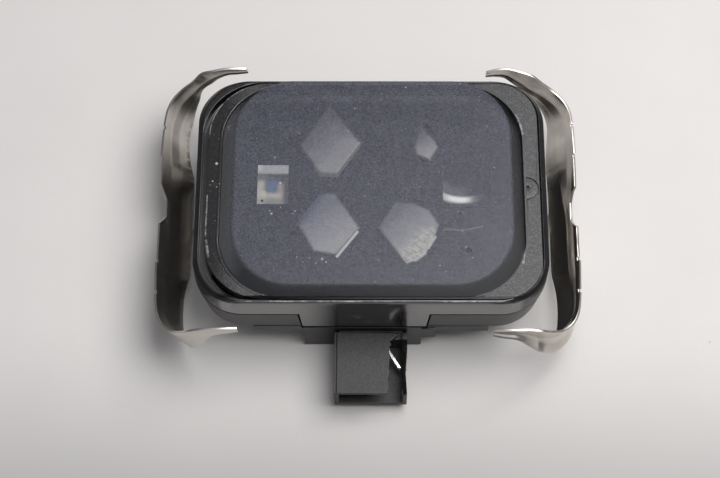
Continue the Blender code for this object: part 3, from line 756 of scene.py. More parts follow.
    def tint(self, factor: Term, first: Any, second: Any) -> Signal:
        """Go from one colour to another.

        Args:
            factor: 0 for the first colour and 1 for the second.
            first: The first colour, a value or a signal.
            second: The second colour.

        Returns:
            The mixed colour.
        """
        mixed = self.node("ShaderNodeMix", {"data_type": "RGBA"}, {}).socket.node
        for index, value in ((0, factor), (6, first), (7, second)):
            self._feed(mixed.inputs[index], value)
        return Signal(self, mixed.outputs[2])

    def shaded(self, colour: Colour, amount: Signal) -> Signal:
        """A colour made darker or lighter by a signal about 1."""
        return self.node("ShaderNodeVectorMath", {"operation": "SCALE"}, {0: colour, "Scale": amount})

    def relief(self, height: Signal, distance: float) -> Signal:
        """A bump from a height, with its full depth in metres."""
        return self.node("ShaderNodeBump", {}, {"Height": height, "Distance": distance, "Strength": 1.0})


# ---------------------------------------------------------------- finishes

@dataclass(frozen=True)
class MouldedPlastic:
    """Black moulded plastic with a fine grain, faint scuffs and a little dust.

    The front can be glossier than the rest, and its top edge can be worn and carry a painted
    highlight, with a painted dark shade strip on the flat behind it. A smudge is a stretch of X,
    a stretch of Z and a strength, on the front face. Painted shade on a torn edge starts at an X,
    a Y and a Z.
    """

    name: str
    colour: Colour = (0.014, 0.014, 0.016)
    roughness: float = 0.28
    ior: float = 1.55
    grain: float = 0.16
    grain_depth: float = 0.000004
    cloudiness: float = 0.12
    mottle: float = 0.3
    dust: float = 0.10
    dust_colour: Colour = (0.20, 0.20, 0.20)
    front: float = -21.5
    front_gloss: float = 0.0
    worn_highlight_above: float = 0.0
    worn_highlight_colour: Colour = (0.58, 0.58, 0.57)
    rim_shade_colour: Colour = (0.006, 0.006, 0.007)
    smudges: tuple[tuple[Point, Point, float], ...] = ()
    # Where the painted shade on a torn edge starts.
    torn: Optional[Triple] = None
    torn_shade_colour: Colour = (0.007, 0.007, 0.008)

    def build(self) -> bpy.types.Material:
        """Make the material.

        Returns:
            The material.
        """
        graph = Graph(self.name)
        cloud = graph.noise(3.5, detail=5.0, roughness=0.6)
        fine = graph.noise(self.grain, detail=2.0)
        dust = graph.specks(0.55, 0.07, self.dust)
        colour = graph.shaded(self.colour, 0.7 + cloud * 0.6 + (fine - 0.5) * self.mottle)
        colour = graph.tint(dust * 0.7, colour, self.dust_colour)
        facing = graph.y.rise(self.front, self.front - 0.6)
        for (left, right), (low, high), strength in self.smudges:
            broken = graph.noise(0.7, detail=5.0, roughness=0.7).rise(0.38, 0.60)
            mark = graph.band(graph.x, left, right, 0.8) * graph.band(graph.z, low, high, 0.5)
            colour = graph.tint(mark * broken * facing * strength, colour, self.dust_colour)
        if self.worn_highlight_above:
            patchy = graph.noise(1.6, detail=5.0, roughness=0.7, stretch=(2.0, 1.0, 1.0))
            top = graph.z.rise(self.worn_highlight_above - 0.10, self.worn_highlight_above + 0.02)
            outer = graph.y.rise(self.front - 0.74, self.front - 0.84)
            inner = top * (1.0 - outer) * graph.y.rise(self.front + 1.0, self.front)
            # The worn band is wear and also a painted highlight along the rim's outer edge.
            worn = top * outer * (0.2 + patchy.rise(0.42, 0.62) * 0.8)
            colour = graph.tint(worn, colour, self.worn_highlight_colour)
            # Painted shade: the flat behind the edge is darkened and made partly metallic, so that it
            # reflects little.
            colour = graph.tint(inner, colour, self.rim_shade_colour)
            graph.shade(Metallic=inner * 0.8)
        # Painted shade: the torn top of a wall is darkened where it faces away from the light.
        if self.torn:
            x, y, z = self.torn
            torn_shade = graph.x.rise(x, x + 0.15) * graph.y.rise(y, y - 0.3) * graph.z.rise(z, z + 0.2)
            colour = graph.tint(torn_shade, colour, self.torn_shade_colour)
        rough = self.roughness + (cloud - 0.5) * self.cloudiness + (fine - 0.5) * 0.08
        if self.front_gloss:
            graph.shade(Coat_Weight=facing * self.front_gloss, Coat_Roughness=0.18, Coat_IOR=1.75)
        return graph.shade(Base_Color=colour, Roughness=rough, IOR=self.ior,
                           Normal=graph.relief(fine, self.grain_depth))


@dataclass(frozen=True)
class DustyFrame:
    """The frame round the pad: satin on the right; dusty, worn and darkened by painted shade on the left."""

    name: str
    colour: Colour = (0.016, 0.016, 0.018)
    powder: Colour = (0.14, 0.14, 0.145)
    dust: Colour = (0.10, 0.10, 0.11)
    worn: Colour = (0.36, 0.36, 0.36)
    # Painted shade: the colour and the stretch of Y of a dark strip along the front, standing in for the
    # shadowed gap before the pad.
    front_shade_colour: Colour = (0.005, 0.005, 0.006)
    front_shade_strip: Pair = (-21.15, -21.45)
    # The side that is dusty and darkened by painted shade, from where it starts to where it is full.
    dusty_shaded_side: Pair = (-20.0, -29.0)
    wear: tuple[tuple[Point, Point, float], ...] = (
        ((-29.8, -1.5), (-29.8, -9.8), 0.14),
        ((-29.6, -10.6), (-29.1, -13.6), 0.26),
        ((26.9, 15.0), (27.7, 12.9), 0.34),
        ((27.6, 12.7), (28.0, 11.2), 0.34),
        ((27.4, -12.4), (27.2, -14.8), 0.40),
    )
    worn_arc: tuple[Point, float, float] = ((-18.9, 10.95), 10.9, 0.08)
    crumbs: tuple[tuple[Point, float, Colour], ...] = (
        ((-28.3, 5.0), 0.24, (0.85, 0.85, 0.85)),
        ((-28.5, 0.7), 0.55, (0.030, 0.020, 0.015)),
        ((-28.9, 1.4), 0.14, (0.50, 0.42, 0.38)),
        ((-28.1, 0.2), 0.13, (0.44, 0.38, 0.35)),
        ((-27.6, 0.8), 0.12, (0.34, 0.30, 0.28)),
        ((-29.3, 0.6), 0.12, (0.36, 0.32, 0.30)),
    )

    def build(self) -> bpy.types.Material:
        """Make the material.

        Returns:
            The material.
        """
        graph = Graph(self.name)
        left = graph.x.rise(*self.dusty_shaded_side)
        fine = graph.noise(0.20, detail=3.0, roughness=0.6)
        cloud = graph.noise(2.2, detail=5.0, roughness=0.65)
        grit = graph.noise(0.42, detail=4.0, roughness=0.75)
        dust = graph.specks(0.55, 0.12, 0.40) * left + graph.specks(0.6, 0.16, 0.30)
        # Painted shade: the left's colour is made far darker than the right's, and the left gets less of the
        # pale powder, as the light falls from the right.
        colour = graph.tint(left, graph.shaded(self.colour, 1.3 + cloud * 0.9 + (grit - 0.5) * 3.0),
                            graph.shaded(self.colour, 0.1 + cloud * 0.4 + (grit - 0.5) * 1.6))
        powder = graph.noise(0.30, detail=2.0, roughness=0.6).rise(0.45, 0.68) * (1.0 - left * 0.85)
        colour = graph.tint(powder * 0.5, colour, self.powder)
        colour = graph.tint((dust * grit.rise(0.45, 0.60)).clamped(), colour, self.dust)
        broken = graph.noise(0.7, detail=4.0, roughness=0.7).rise(0.38, 0.62)
        centre, radius, width = self.worn_arc
        arc = graph.ring(centre, radius, width, 0.10) * graph.x.rise(centre[0] - 3.0, centre[0] - 5.0) \
            * graph.y.rise(centre[1] - 1.0, centre[1] + 1.0)
        for start, end, width in self.wear:
            arc = arc + graph.stroke(start, end, width, 0.14)
        colour = graph.tint(arc.clamped() * broken * 0.75, colour, self.worn)
        for place, radius, shade in self.crumbs:
            colour = graph.tint(graph.dot(place, radius, radius * 0.8) * broken.at_least(0.5), colour, shade)
        # Painted shade: a dark, mostly metallic strip along the front that reflects little.
        front = graph.y.rise(*self.front_shade_strip)
        rough = 0.40 - left.at_least(front) * 0.26 + (fine - 0.5) * 0.16 + (grit - 0.5) * 0.16
        relief = (fine + grit) * (1.0 - left.at_least(front) * 0.9)
        colour = graph.tint(front * 0.8, colour, self.front_shade_colour)
        return graph.shade(Base_Color=colour, Metallic=front * 0.85, Roughness=rough, IOR=1.6,
                           Normal=graph.relief(relief, 0.00005))


@dataclass(frozen=True)
class CouplingSilicone:
    """Clear grey silicone with a hazy top, dust, dark specks, faint streaks and painted light and shade."""

    name: str
    haze: Colour = (0.172, 0.180, 0.234)
    # Painted light and shade on the sloping sides: dark at the front and back, lighter on the left, darker on
    # the right.
    edge: Colour = (0.030, 0.032, 0.040)
    slope_left_painted_light: Colour = (0.25, 0.25, 0.27)
    slope_right_painted_shade: Colour = (0.010, 0.010, 0.012)
    top_alpha: float = 0.40
    side_alpha: float = 0.36
    under_alpha: float = 0.03
    levels: Triple = (18.5, 22.2, 23.08)
    sides: Pair = (22.0, 26.0)
    rear_shade_span: Pair = (15.6, 17.8)
    rear_edge: Pair = (20.4, 20.8)
    dust_colour: Colour = (0.62, 0.62, 0.64)
    mote_and_shadow_colour: Colour = (0.012, 0.012, 0.014)
    streaks: tuple[tuple[Point, Point], ...] = (
        ((13.4, -9.7), (16.3, -10.0)), ((16.3, -10.0), (19.9, -9.2)))
    # Dark specks of dust, and painted shadows beside two bumps: (16.1, -6.7) and (17.5, -13.8).
    motes_and_shadows: tuple[tuple[Point, float], ...] = (
        ((-14.3, 7.7), 0.22), ((-21.0, 6.0), 0.18), ((-19.7, 18.0), 0.16), ((-24.5, 3.7), 0.18),
        ((-19.6, -4.2), 0.18), ((14.1, 3.8), 0.18), ((5.2, 11.2), 0.16), ((5.7, 15.4), 0.18),
        ((19.4, -13.8), 0.16), ((22.1, 2.3), 0.18), ((16.1, -6.7), 0.18), ((17.5, -13.8), 0.30))
    # Crumbs of dust, and painted highlights beside two bumps: (15.7, -6.2) and (16.9, -13.2).
    crumbs: tuple[tuple[Point, float], ...] = (
        ((-17.8, -6.7), 0.26), ((-18.1, -6.1), 0.14), ((-16.2, -5.4), 0.15), ((-13.6, -6.2), 0.17),
        ((-14.0, -6.7), 0.14), ((-17.5, 4.6), 0.15), ((-13.1, 9.6), 0.14), ((-11.1, 5.4), 0.12),
        ((-13.1, -15.2), 0.12), ((-12.0, -16.2), 0.13), ((-10.9, -15.4), 0.12), ((-9.7, -16.4), 0.14),
        ((-8.6, -15.6), 0.28), ((-7.9, -16.2), 0.18), ((12.3, 1.7), 0.12), ((22.3, 2.6), 0.12),
        ((-26.3, 12.2), 0.20), ((-26.2, 11.5), 0.17), ((15.7, -6.2), 0.13), ((16.9, -13.2), 0.17))

    def build(self) -> bpy.types.Material:
        """Make the material.

        Returns:
            The material.
        """
        graph = Graph(self.name)
        foot, shoulder, top = self.levels
        above = graph.z.rise(foot - 0.15, foot + 0.05)
        flat = graph.z.rise(shoulder, top)
        behind = graph.y.rise(*self.rear_edge) * (1.0 - flat)
        broad = graph.noise(13.0, detail=3.0)
        mottled = graph.noise(1.5, detail=5.0, roughness=0.65)
        fine = graph.noise(0.32, detail=2.0, roughness=0.6).rise(0.32, 0.68)
        # Painted shade: the rear part of the top is darkened and its haze made thicker.
        far = graph.y.rise(*self.rear_shade_span)
        light = (0.72 + broad * 0.26 + (mottled - 0.5) * 0.30 + (fine - 0.5) * 0.58) * (1.0 - far * 0.44)
        # Painted light and shade: each sloping side takes its own colour, by how the light falls on it.
        start, end = self.sides
        edge = graph.tint(graph.x.rise(-start, -end), self.edge, self.slope_left_painted_light)
        edge = graph.tint(graph.x.rise(start, end), edge, self.slope_right_painted_shade)
        colour = graph.tint(flat, edge, graph.shaded(self.haze, light))
        dusty = graph.noise(9.0, detail=2.0).rise(0.36, 0.60)
        dust = graph.specks(1.5, 0.14, 0.30) * dusty * 0.8 + graph.specks(0.62, 0.10, 0.36) * 0.36
        for start, end in self.streaks:
            dust = dust + graph.stroke(start, end, 0.10, 0.22) * 0.22
        # The crumbs add dust and painted highlights beside the bumps.
        for place, radius in self.crumbs:
            dust = dust + graph.dot(place, radius * 0.8, radius * 0.8) * 0.7
        dust = (dust * above).clamped()
        motes_and_shadows = graph.specks(3.2, 0.17, 0.22) * flat
        for place, radius in self.motes_and_shadows:
            motes_and_shadows = motes_and_shadows + graph.dot(place, radius, radius) * 0.8
        motes_and_shadows = motes_and_shadows.clamped()
        colour = graph.tint(dust * 0.85, colour, self.dust_colour)
        colour = graph.tint(motes_and_shadows, colour, self.mote_and_shadow_colour)
        alpha = self.side_alpha + flat * (self.top_alpha - self.side_alpha + far * 0.30) \
            + (mottled - 0.5) * 0.07
        alpha = (alpha * (1.0 - behind * 0.85) + (dust + motes_and_shadows) * 0.5).at_most(1.0)
        alpha = alpha * above + (1.0 - above) * self.under_alpha
        rough = 0.34 + (mottled - 0.5) * 0.2 + dust * 0.3
        return graph.shade(Base_Color=colour, Roughness=rough, Alpha=alpha, IOR=1.41,
                           Normal=graph.relief(fine * 0.3 + mottled, 0.000012))


@dataclass(frozen=True)
class FrostedLens:
    """A pale frosted window with painted light towards one corner, marks, and painted edge highlights."""

    name: str
    centre: Point
    dull: Colour = (0.15, 0.155, 0.18)
    bright: Colour = (0.56, 0.56, 0.56)
    rim: Colour = (0.016, 0.018, 0.024)
    span: Pair = (-6.5, 6.0)
    fade: float = 0.55
    marks: tuple[tuple[Point, Point, float, Colour, float], ...] = ()
    crumpled: Optional[tuple[Point, Point, float]] = None
    creases: tuple[Colour, Colour] = ((0.46, 0.44, 0.40), (0.86, 0.84, 0.78))

    def build(self, outline: Sequence[Point]) -> bpy.types.Material:
        """Make the material.

        Args:
            outline: The window's outline, in millimetres.

        Returns:
            The material.
        """
        graph = Graph(self.name)
        across, along = graph.x - self.centre[0], graph.y - self.centre[1]
        # Painted light: the window goes from dull to bright towards one corner.
        slope = (across * 0.55 - along * 0.83).rise(*self.span)
        cloud = graph.noise(2.4, detail=4.0)
        fine = graph.noise(0.35, detail=3.0, roughness=0.7)
        level = (slope + (cloud - 0.5) * 0.35 + (fine - 0.5) * 0.44).clamped()
        colour = graph.tint(level, self.dull, self.bright)
        if self.crumpled:
            start, end, width = self.crumpled
            wrinkles = graph.noise(0.9, detail=5.0, roughness=0.65, stretch=(1.0, 0.7, 1.0), turn=35.0)
            area = graph.stroke(start, end, width, width * 1.3) * graph.inside(outline, 0.12)
            creased = graph.tint(wrinkles.rise(0.30, 0.66), *self.creases)
            crumple = ((area * (0.55 + wrinkles)).clamped(), creased)
        colour = graph.tint(graph.inside(outline, self.fade, -0.25), self.rim, colour)
        if self.crumpled:
            colour = graph.tint(crumple[0], colour, crumple[1])
        # Some of the marks are painted highlights along the window's edges.
        for start, end, width, shade, strength in self.marks:
            colour = graph.tint(graph.stroke(start, end, width, width * 0.6) * strength, colour, shade)
        return graph.shade(Base_Color=colour, Roughness=0.35 + (fine - 0.5) * 0.2, IOR=1.5,
                           Normal=graph.relief(cloud + fine * 0.4, 0.00002))


@dataclass(frozen=True)
class LightWindow:
    """A clear window over a sensor: rectangles, arcs and spots of light in a dark well.

    An arc has a centre, a radius, a width, a soft edge, four places on X where it starts, is
    full, starts to go and is gone, a colour and a strength. The last arc also glows.
    """

    name: str
    ground: Colour
    rim: Colour = (0.016, 0.018, 0.024)
    fade: float = 0.3
    patches: tuple[tuple[Point, Point, float, Colour, float], ...] = ()
    arcs: tuple[tuple[Point, float, float, float, tuple[float, float, float, float], Colour, float], ...] = ()
    glow: float = 0.0
    spots: tuple[tuple[Point, float, float, Colour, float], ...] = ()

    def build(self, outline: Sequence[Point]) -> bpy.types.Material:
        """Make the material.

        Args:
            outline: The window's outline, in millimetres.

        Returns:
            The material.
        """
        graph = Graph(self.name)
        fine = graph.noise(0.35, detail=4.0, roughness=0.7)
        colour = graph.shaded(self.ground, 0.7 + fine * 0.6)
        for low, high, soft, shade, strength in self.patches:
            colour = graph.tint(graph.patch(low, high, soft) * strength, colour, shade)
        for centre, radius, width, soft, (start, full, going, gone), shade, strength in self.arcs:
            arc = graph.ring(centre, radius, width, soft) * graph.x.rise(start, full) \
                * graph.x.rise(gone, going) * graph.y.rise(centre[1], centre[1] - 1.0)
            colour = graph.tint(arc * strength, colour, shade)
        if self.glow:
            graph.shade(Emission_Color=graph.shaded(shade, arc), Emission_Strength=self.glow)
        for centre, radius, soft, shade, strength in self.spots:
            colour = graph.tint(graph.dot(centre, radius, soft) * strength, colour, shade)
        colour = graph.tint(graph.inside(outline, self.fade), self.rim, colour)
        return graph.shade(Base_Color=colour, Roughness=0.22 + (fine - 0.5) * 0.1, IOR=1.5,
                           Normal=graph.relief(fine, 0.000008))


@dataclass(frozen=True)
class SpringSteel:
    """Warm rolled steel with lengthwise brush marks and a little tarnish."""

    name: str
    colour: Colour = (0.66, 0.625, 0.58)
    tarnish: Colour = (0.40, 0.36, 0.32)
    pit: Colour = (0.10, 0.09, 0.08)
    roughness: float = 0.33

    def build(self) -> bpy.types.Material:
        """Make the material.

        Returns:
            The material.
        """
        graph = Graph(self.name)
        brushed = graph.noise(0.5, detail=4.0, roughness=0.6, stretch=(0.3, 14.0, 0.35))
        cloud = graph.noise(5.0, detail=4.0, roughness=0.6)
        pits = graph.specks(1.6, 0.10, 0.18)
        colour = graph.tint(cloud.rise(0.50, 0.75) * 0.45, self.colour, self.tarnish)
        colour = graph.tint(pits * 0.7, colour, self.pit)
        rough = self.roughness + (brushed - 0.5) * 0.16 + (cloud - 0.5) * 0.10 + pits * 0.3
        return graph.shade(Base_Color=colour, Roughness=rough, Metallic=1.0 - pits * 0.6,
                           Normal=graph.relief(brushed, 0.000003))


@dataclass(frozen=True)
class PlainFinish:
    """A simple material for small and enclosed parts: one colour, mottled, with a fine grain."""

    name: str
    colour: Colour
    roughness: float = 0.5
    metallic: float = 0.0
    grain: float = 0.25
    mottle: float = 0.25
    second: Colour = (0.05, 0.05, 0.05)
    second_share: float = 0.0

    def build(self) -> bpy.types.Material:
        """Make the material.

        Returns:
            The material.
        """
        graph = Graph(self.name)
        fine = graph.noise(self.grain, detail=3.0)
        cloud = graph.noise(self.grain * 9, detail=4.0)
        colour = graph.shaded(self.colour, 1.0 - self.mottle / 2 + cloud * self.mottle)
        if self.second_share:
            lines = graph.node("ShaderNodeTexBrick", {"offset": 0.5}, {
                "Vector": graph.place, "Color1": (1, 1, 1), "Color2": (0.9, 0.9, 0.9),
                "Mortar": (0, 0, 0), "Scale": 0.6, "Mortar Size": 0.02}, "Fac")
            colour = graph.tint(lines * self.second_share, colour, self.second)
        return graph.shade(Base_Color=colour, Roughness=self.roughness + (fine - 0.5) * 0.15,
                           Metallic=self.metallic, Normal=graph.relief(fine, 0.000005))


@dataclass(frozen=True)
class TableTop:
    """A pale matt table with fine specks, faint stains and painted shade towards the front."""

    name: str = "table_top"
    colour: Colour = (0.706, 0.690, 0.680)
    speck: Colour = (0.30, 0.28, 0.27)
    front_shade: Triple = (-75.0, -15.0, 0.50)

    def build(self) -> bpy.types.Material:
        """Make the material.

        Returns:
            The material.
        """
        graph = Graph(self.name)
        stain = graph.noise(26.0, detail=5.0, roughness=0.6)
        grain = graph.noise(0.55, detail=3.0, roughness=0.7)
        specks = graph.specks(7.0, 0.28, 0.16)
        # Painted shade: the table darkens towards the front.
        start, end, least = self.front_shade
        near = least + graph.y.rise(start, end) * (1.0 - least)
        colour = graph.shaded(self.colour, (0.93 + stain * 0.08 + grain * 0.06) * near)
        colour = graph.tint(specks * 0.35, colour, self.speck)
        return graph.shade(Base_Color=colour, Roughness=0.75 + (grain - 0.5) * 0.2, IOR=1.3)


# ---------------------------------------------------------------- housing

@dataclass
class Bezel:
    """The upper shell: a bevelled rim, the shelf inside it and the tongue in front."""

    radius: float = 0.0089
    wall: float = 0.0016
    parting_z: float = 0.0148
    rim_sides: float = 0.0010
    rim_ends: float = 0.00065
    rim_drop: float = 0.0007
    rim_flats: Pair = (0.00014, 0.00034)
    rim_left_radii: Pair = (0.0098, 0.01105)
    edge_rounding: float = 0.00016
    shelf_sides: float = 0.0021
    shelf_ends: float = 0.00115
    shelf_depth: float = 0.0020
    shelf_thickness: float = 0.0011
    tongue: Triple = (-0.0129, 0.0106, 0.0005)
    tongue_gap: float = 0.00005
    softening: float = 0.00009
    finish: MouldedPlastic = MouldedPlastic(
        "bezel_plastic", colour=(0.010, 0.010, 0.0115), roughness=0.22, ior=1.6, front_gloss=1.0,
        worn_highlight_above=19.9, smudges=(
            ((-3.4, -1.8), (12.9, 14.3), 0.8), ((5.8, 7.2), (13.0, 14.4), 0.7),
            ((5.2, 6.9), (16.2, 18.0), 0.28), ((-1.0, 0.4), (10.5, 11.6), 0.4)))

    def build(self) -> None:
        """Model the shell and dress it."""
        low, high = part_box("upper_housing")
        size = (high.x - low.x, high.y - low.y)
        top, shelf = high.z, high.z - self.shelf_depth
        edge = top - self.rim_drop
        shell = Workpiece.slab("bezel", size, self.radius, (self.parting_z, edge), segments=20)
        insets = (self.rim_sides - self.rim_flats[0], self.rim_ends - self.rim_flats[1])
        shell.step_in(edge, self.rim_drop, insets, size)
        shell.bevel(lambda item: lies_level_at(item, top), self.edge_rounding, 3)
        shell.join(self.make_tongue(low))
        inner = tuple(length - 2 * self.wall for length in size)
        rim = (size[0] - 2 * self.rim_sides, size[1] - 2 * self.rim_ends)
        rim_radius = self.radius - self.rim_sides
        hole = (rim[0] - 2 * self.shelf_sides, rim[1] - 2 * self.shelf_ends)
        under = shelf - self.shelf_thickness
        well = Workpiece.slab("rim_well", rim, rim_radius, (shelf, top + 2 * PAST), segments=20)
        for end, radius in zip((-1, 1), self.rim_left_radii):
            well.cut(Workpiece.corner_waste((-rim[0] / 2, end * rim[1] / 2), (1, -end), radius,
                                            (shelf - PAST, top + 3 * PAST)))
        shell.cut(
            Workpiece.slab("cavity", inner, self.radius - self.wall, (self.parting_z - 2 * PAST, under)),
            Workpiece.slab("opening", hole, rim_radius - self.shelf_ends, (under - PAST, shelf + 2 * PAST)),
            well)
        shell.soften(self.softening)
        shell.deliver(Body.HOUSING, "housing_plastic", self.finish.build(), "upper_housing")

    def make_tongue(self, low: Vector) -> Workpiece:
        """Make the tongue that covers the socket's root, narrower at its foot.

        Args:
            low: The lowest corner of the node's box.

        Returns:
            The tongue.
        """
        left, right, lean = self.tongue
        foot = low.z + self.tongue_gap
        tongue = Workpiece.block("tongue", (left, low.y, foot),
                                 (right, low.y + self.wall, self.parting_z + LAP))
        width = right - left
        return tongue.step_in(foot, 0.0, (lean, 0.0), (width, self.wall),
                              ((left + right) / 2, low.y + self.wall / 2))


@dataclass
class RearCover:
    """The lower shell: a tray with a band and a hump under it, a block in front and hinge ears."""

    radius: float = 0.0089
    wall: float = 0.0016
    top_z: float = 0.0145
    height: float = 0.00635
    floor: float = 0.0012
    taper: float = 0.0009
    edge: float = 0.0006
    band_half: float = 0.02145
    band_inset: float = 0.00025
    band_drop: float = 0.00165
    seat_z: float = 0.0076
    seat_gap: float = 0.0003
    lean_height: float = 0.0060
    hump: Pair = (0.0500, 0.0350)
    hump_radius: float = 0.0050
    hump_edge: float = 0.0006
    block: Pair = (-0.0122, 0.0093)
    block_z: Pair = (0.0004, 0.00845)
    foot: Triple = (0.0025, 0.0039, 0.0078)
    socket_half: float = 0.00605
    socket_z: Pair = (0.0020, 0.0069)
    hinge: Pair = (0.0296, 0.0020)
    ear: tuple[float, float, float, float] = (0.0095, 0.0022, 0.0020, 0.0006)
    ear_rounding: float = 0.7
    pin_bore: Pair = (0.0008, 0.0140)
    mark: tuple[float, float, float, float] = (0.0016, 0.0180, 0.0115, 0.00012)
    softening: float = 0.00010
    finish: MouldedPlastic = MouldedPlastic("cover_plastic", colour=(0.016, 0.016, 0.017),
                                            roughness=0.33, dust=0.14)

    def build(self) -> None:
        """Model the shell and dress it."""
        low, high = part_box("rear_cover")
        bezel_low, bezel_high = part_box("upper_housing")
        size = (bezel_high.x - bezel_low.x, bezel_high.y - bezel_low.y)
        front = bezel_low.y
        bottom = self.top_z - self.height
        shell = Workpiece.slab("rear_shell", size, self.radius, (bottom, self.top_z), segments=20)
        shell.step_in(bottom, 0.0, (self.taper, self.taper / 3), size)
        shell.bevel(lambda edge: lies_level_at(edge, bottom), self.edge, 4)
        within = bottom + self.floor / 2
        band_y = size[1] / 2 - self.band_inset
        band = Workpiece.block("band", (-self.band_half, -band_y, bottom - self.band_drop),
                               (self.band_half, band_y, within))
        hump = Workpiece.slab("hump", self.hump, self.hump_radius, (0.0, within), segments=10)
        hump.bevel(lambda edge: lies_level_at(edge, 0.0), self.hump_edge, 3)
        block = Workpiece.block("block", (self.block[0], front, self.block_z[0]),
                                (self.block[1], -self.hump[1] / 2 + self.wall / 2, self.block_z[1]))
        foot = Workpiece.block("foot", (self.block[1] - self.wall, front, self.foot[1]),
                               (self.block[1] + self.foot[0], front + self.wall, self.foot[2]))
        shell.join(band)
        shell.cut(self.make_seat(front, self.seat_z))
        shell.join(hump, block, foot, *self.make_ears(within))
        shell.cut(*self.make_cuts(size, bottom, front))
        shell.soften(self.softening)
        shell.deliver(Body.HOUSING, "cover_plastic", self.finish.build(), "rear_cover")

    def make_ears(self, top: float) -> list[Workpiece]:
        """Make the four ears that hold the hinge pins, rounded at their feet.

        Args:
            top: The height that they hang from.

        Returns:
            The ears.
        """
        (x, z), (y, thickness, radius, lift) = self.hinge, self.ear
        foot = z - radius + lift
        ear = Workpiece.block("ear", (-x - radius, -y - thickness, foot), (-x + radius, -y, top))
        ear.bevel(lambda edge: lies_level_at(edge, foot)
                  and abs(edge.verts[0].co.x - edge.verts[1].co.x) < SAME_PLACE,
                  radius * self.ear_rounding, 6)
        across, along = 2 * x, 2 * y + thickness
        return ear.repeated((0.0, along, 0.0), (across, 0.0, 0.0), (across, along, 0.0))

    def make_seat(self, front: float, low: float) -> Workpiece:
        """Make what is cut away for the tongue, its sides sloping with it.

        Args:
            front: The front wall's face.
            low: The height that the cut starts at.

        Returns:
            The tool.
        """
        left, right, lean = Bezel.tongue
        high, gap = self.top_z + 2 * self.seat_gap, self.seat_gap
        seat = Workpiece.block("seat", (left - gap, front - 2 * PAST, low),
                               (right + gap, front + self.wall + gap, high))
        return seat.step_in(low, 0.0, (lean * (high - low) / self.lean_height, 0.0),
                            (right - left + 2 * gap, self.wall + gap + 2 * PAST),
                            ((left + right) / 2, front))

    def make_cuts(self, size: Point, bottom: float, front: float) -> list[Workpiece]:
        """Make the tools for the tray, the hump's hollow, the tongue's seat, the socket's hole,
        the pins' bores and the round marks of the ejector pins under the hump.

        Args:
            size: The shell's width and depth.
            bottom: The height of the tray's underside.
            front: The front wall's face.

        Returns:
            The tools.
        """
        floor_z = bottom + self.floor
        inner = tuple(length - 2 * self.wall for length in size)
        hollow = tuple(length - 2 * self.wall for length in self.hump)
        cuts = [
            Workpiece.slab("tray", inner, self.radius - self.wall, (floor_z, self.top_z + 2 * PAST)),
            Workpiece.slab("hollow", hollow, self.hump_radius - self.wall, (self.wall, floor_z + LAP)),
            self.make_seat(front, self.block_z[1]),
            Workpiece.block("socket_hole", (-self.socket_half, front - 2 * PAST, self.socket_z[0]),
                            (self.socket_half, -self.hump[1] / 2 + self.wall + PAST, self.socket_z[1])),
        ]
        (x, z), (bore_radius, bore_half) = self.hinge, self.pin_bore
        bore = Workpiece.rod("bore", bore_radius, (-x, -bore_half, z), (-x, bore_half, z), 24)
        mark_radius, mark_x, mark_y, depth = self.mark
        mark = Workpiece.rod("mark", mark_radius, (-mark_x, -mark_y, -PAST), (-mark_x, -mark_y, depth), 40)
        bores = bore.repeated((2 * x, 0.0, 0.0))
        marks = mark.repeated((0.0, 2 * mark_y, 0.0), (2 * mark_x, 0.0, 0.0),
                              (2 * mark_x, 2 * mark_y, 0.0))
        return [*cuts, bores[0], *marks[:2], bores[1], *marks[2:]]


@dataclass
class PadFrame:
    """The flat frame round the pad, with a raised lip and a round tab in a groove."""

    radius: float = 0.0076
    left_radius: float = 0.0110
    opening: Pair = (0.05535, 0.0431)
    opening_shift: float = -0.000225
    opening_radius: float = 0.0117
    lip: float = 0.0004
    lip_rise: float = 0.00012
    sunk: float = 0.0003
    tab_radius: float = 0.00235
    tab_shift: float = 0.00035
    groove: float = 0.0003
    groove_width: float = 0.00022
    eye: tuple[float, float, float, float] = (0.0285, 0.0003, 0.00028, 0.0006)
    softening: float = 0.00005
    finish: DustyFrame = DustyFrame("frame_plastic")

    def build(self) -> None:
        """Model the frame and dress it."""
        low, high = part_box("pad_frame")
        size, middle = (high.x - low.x, high.y - low.y), (low.x + high.x) / 2
        plate_z = high.z - self.sunk
        crest = plate_z + self.lip_rise
        centre = (middle + self.opening_shift, 0.0)
        frame_piece = Workpiece.slab("pad_surround", size, self.radius, (low.z, plate_z),
                                     (middle, 0.0), segments=20)
        tab_x = centre[0] + self.opening[0] / 2 + self.tab_shift
        groove = Workpiece.rod("groove", self.tab_radius, (tab_x, 0, plate_z - self.groove),
                               (tab_x, 0, plate_z + 2 * PAST), 64)
        groove.cut(Workpiece.rod("core", self.tab_radius - self.groove_width,
                                 (tab_x, 0, plate_z - PAST), (tab_x, 0, plate_z + 3 * PAST), 64))
        eye_x, eye_y, eye_radius, eye_depth = self.eye
        eye = Workpiece.rod("eye", eye_radius, (eye_x, eye_y, plate_z - eye_depth),
                            (eye_x, eye_y, plate_z + PAST), 24)
        lip_size = tuple(length + 2 * self.lip for length in self.opening)
        lip = Workpiece.slab("lip", lip_size, self.opening_radius + self.lip, (low.z + LAP, crest),
                             centre, segments=24)
        corners = [Workpiece.corner_waste((low.x, y), (1, inward), self.left_radius,
                                          (low.z - PAST, crest + PAST))
                   for y, inward in ((low.y, 1), (high.y, -1))]
        frame_piece.cut(groove, eye, *corners)
        frame_piece.join(lip)
        frame_piece.cut(Workpiece.slab("opening", self.opening, self.opening_radius,
                                       (low.z - PAST, crest + PAST), centre, segments=24))
        frame_piece.soften(self.softening)
        frame_piece.deliver(Body.HOUSING, "frame_plastic", self.finish.build(), "pad_frame")


# ---------------------------------------------------------------- pad and windows

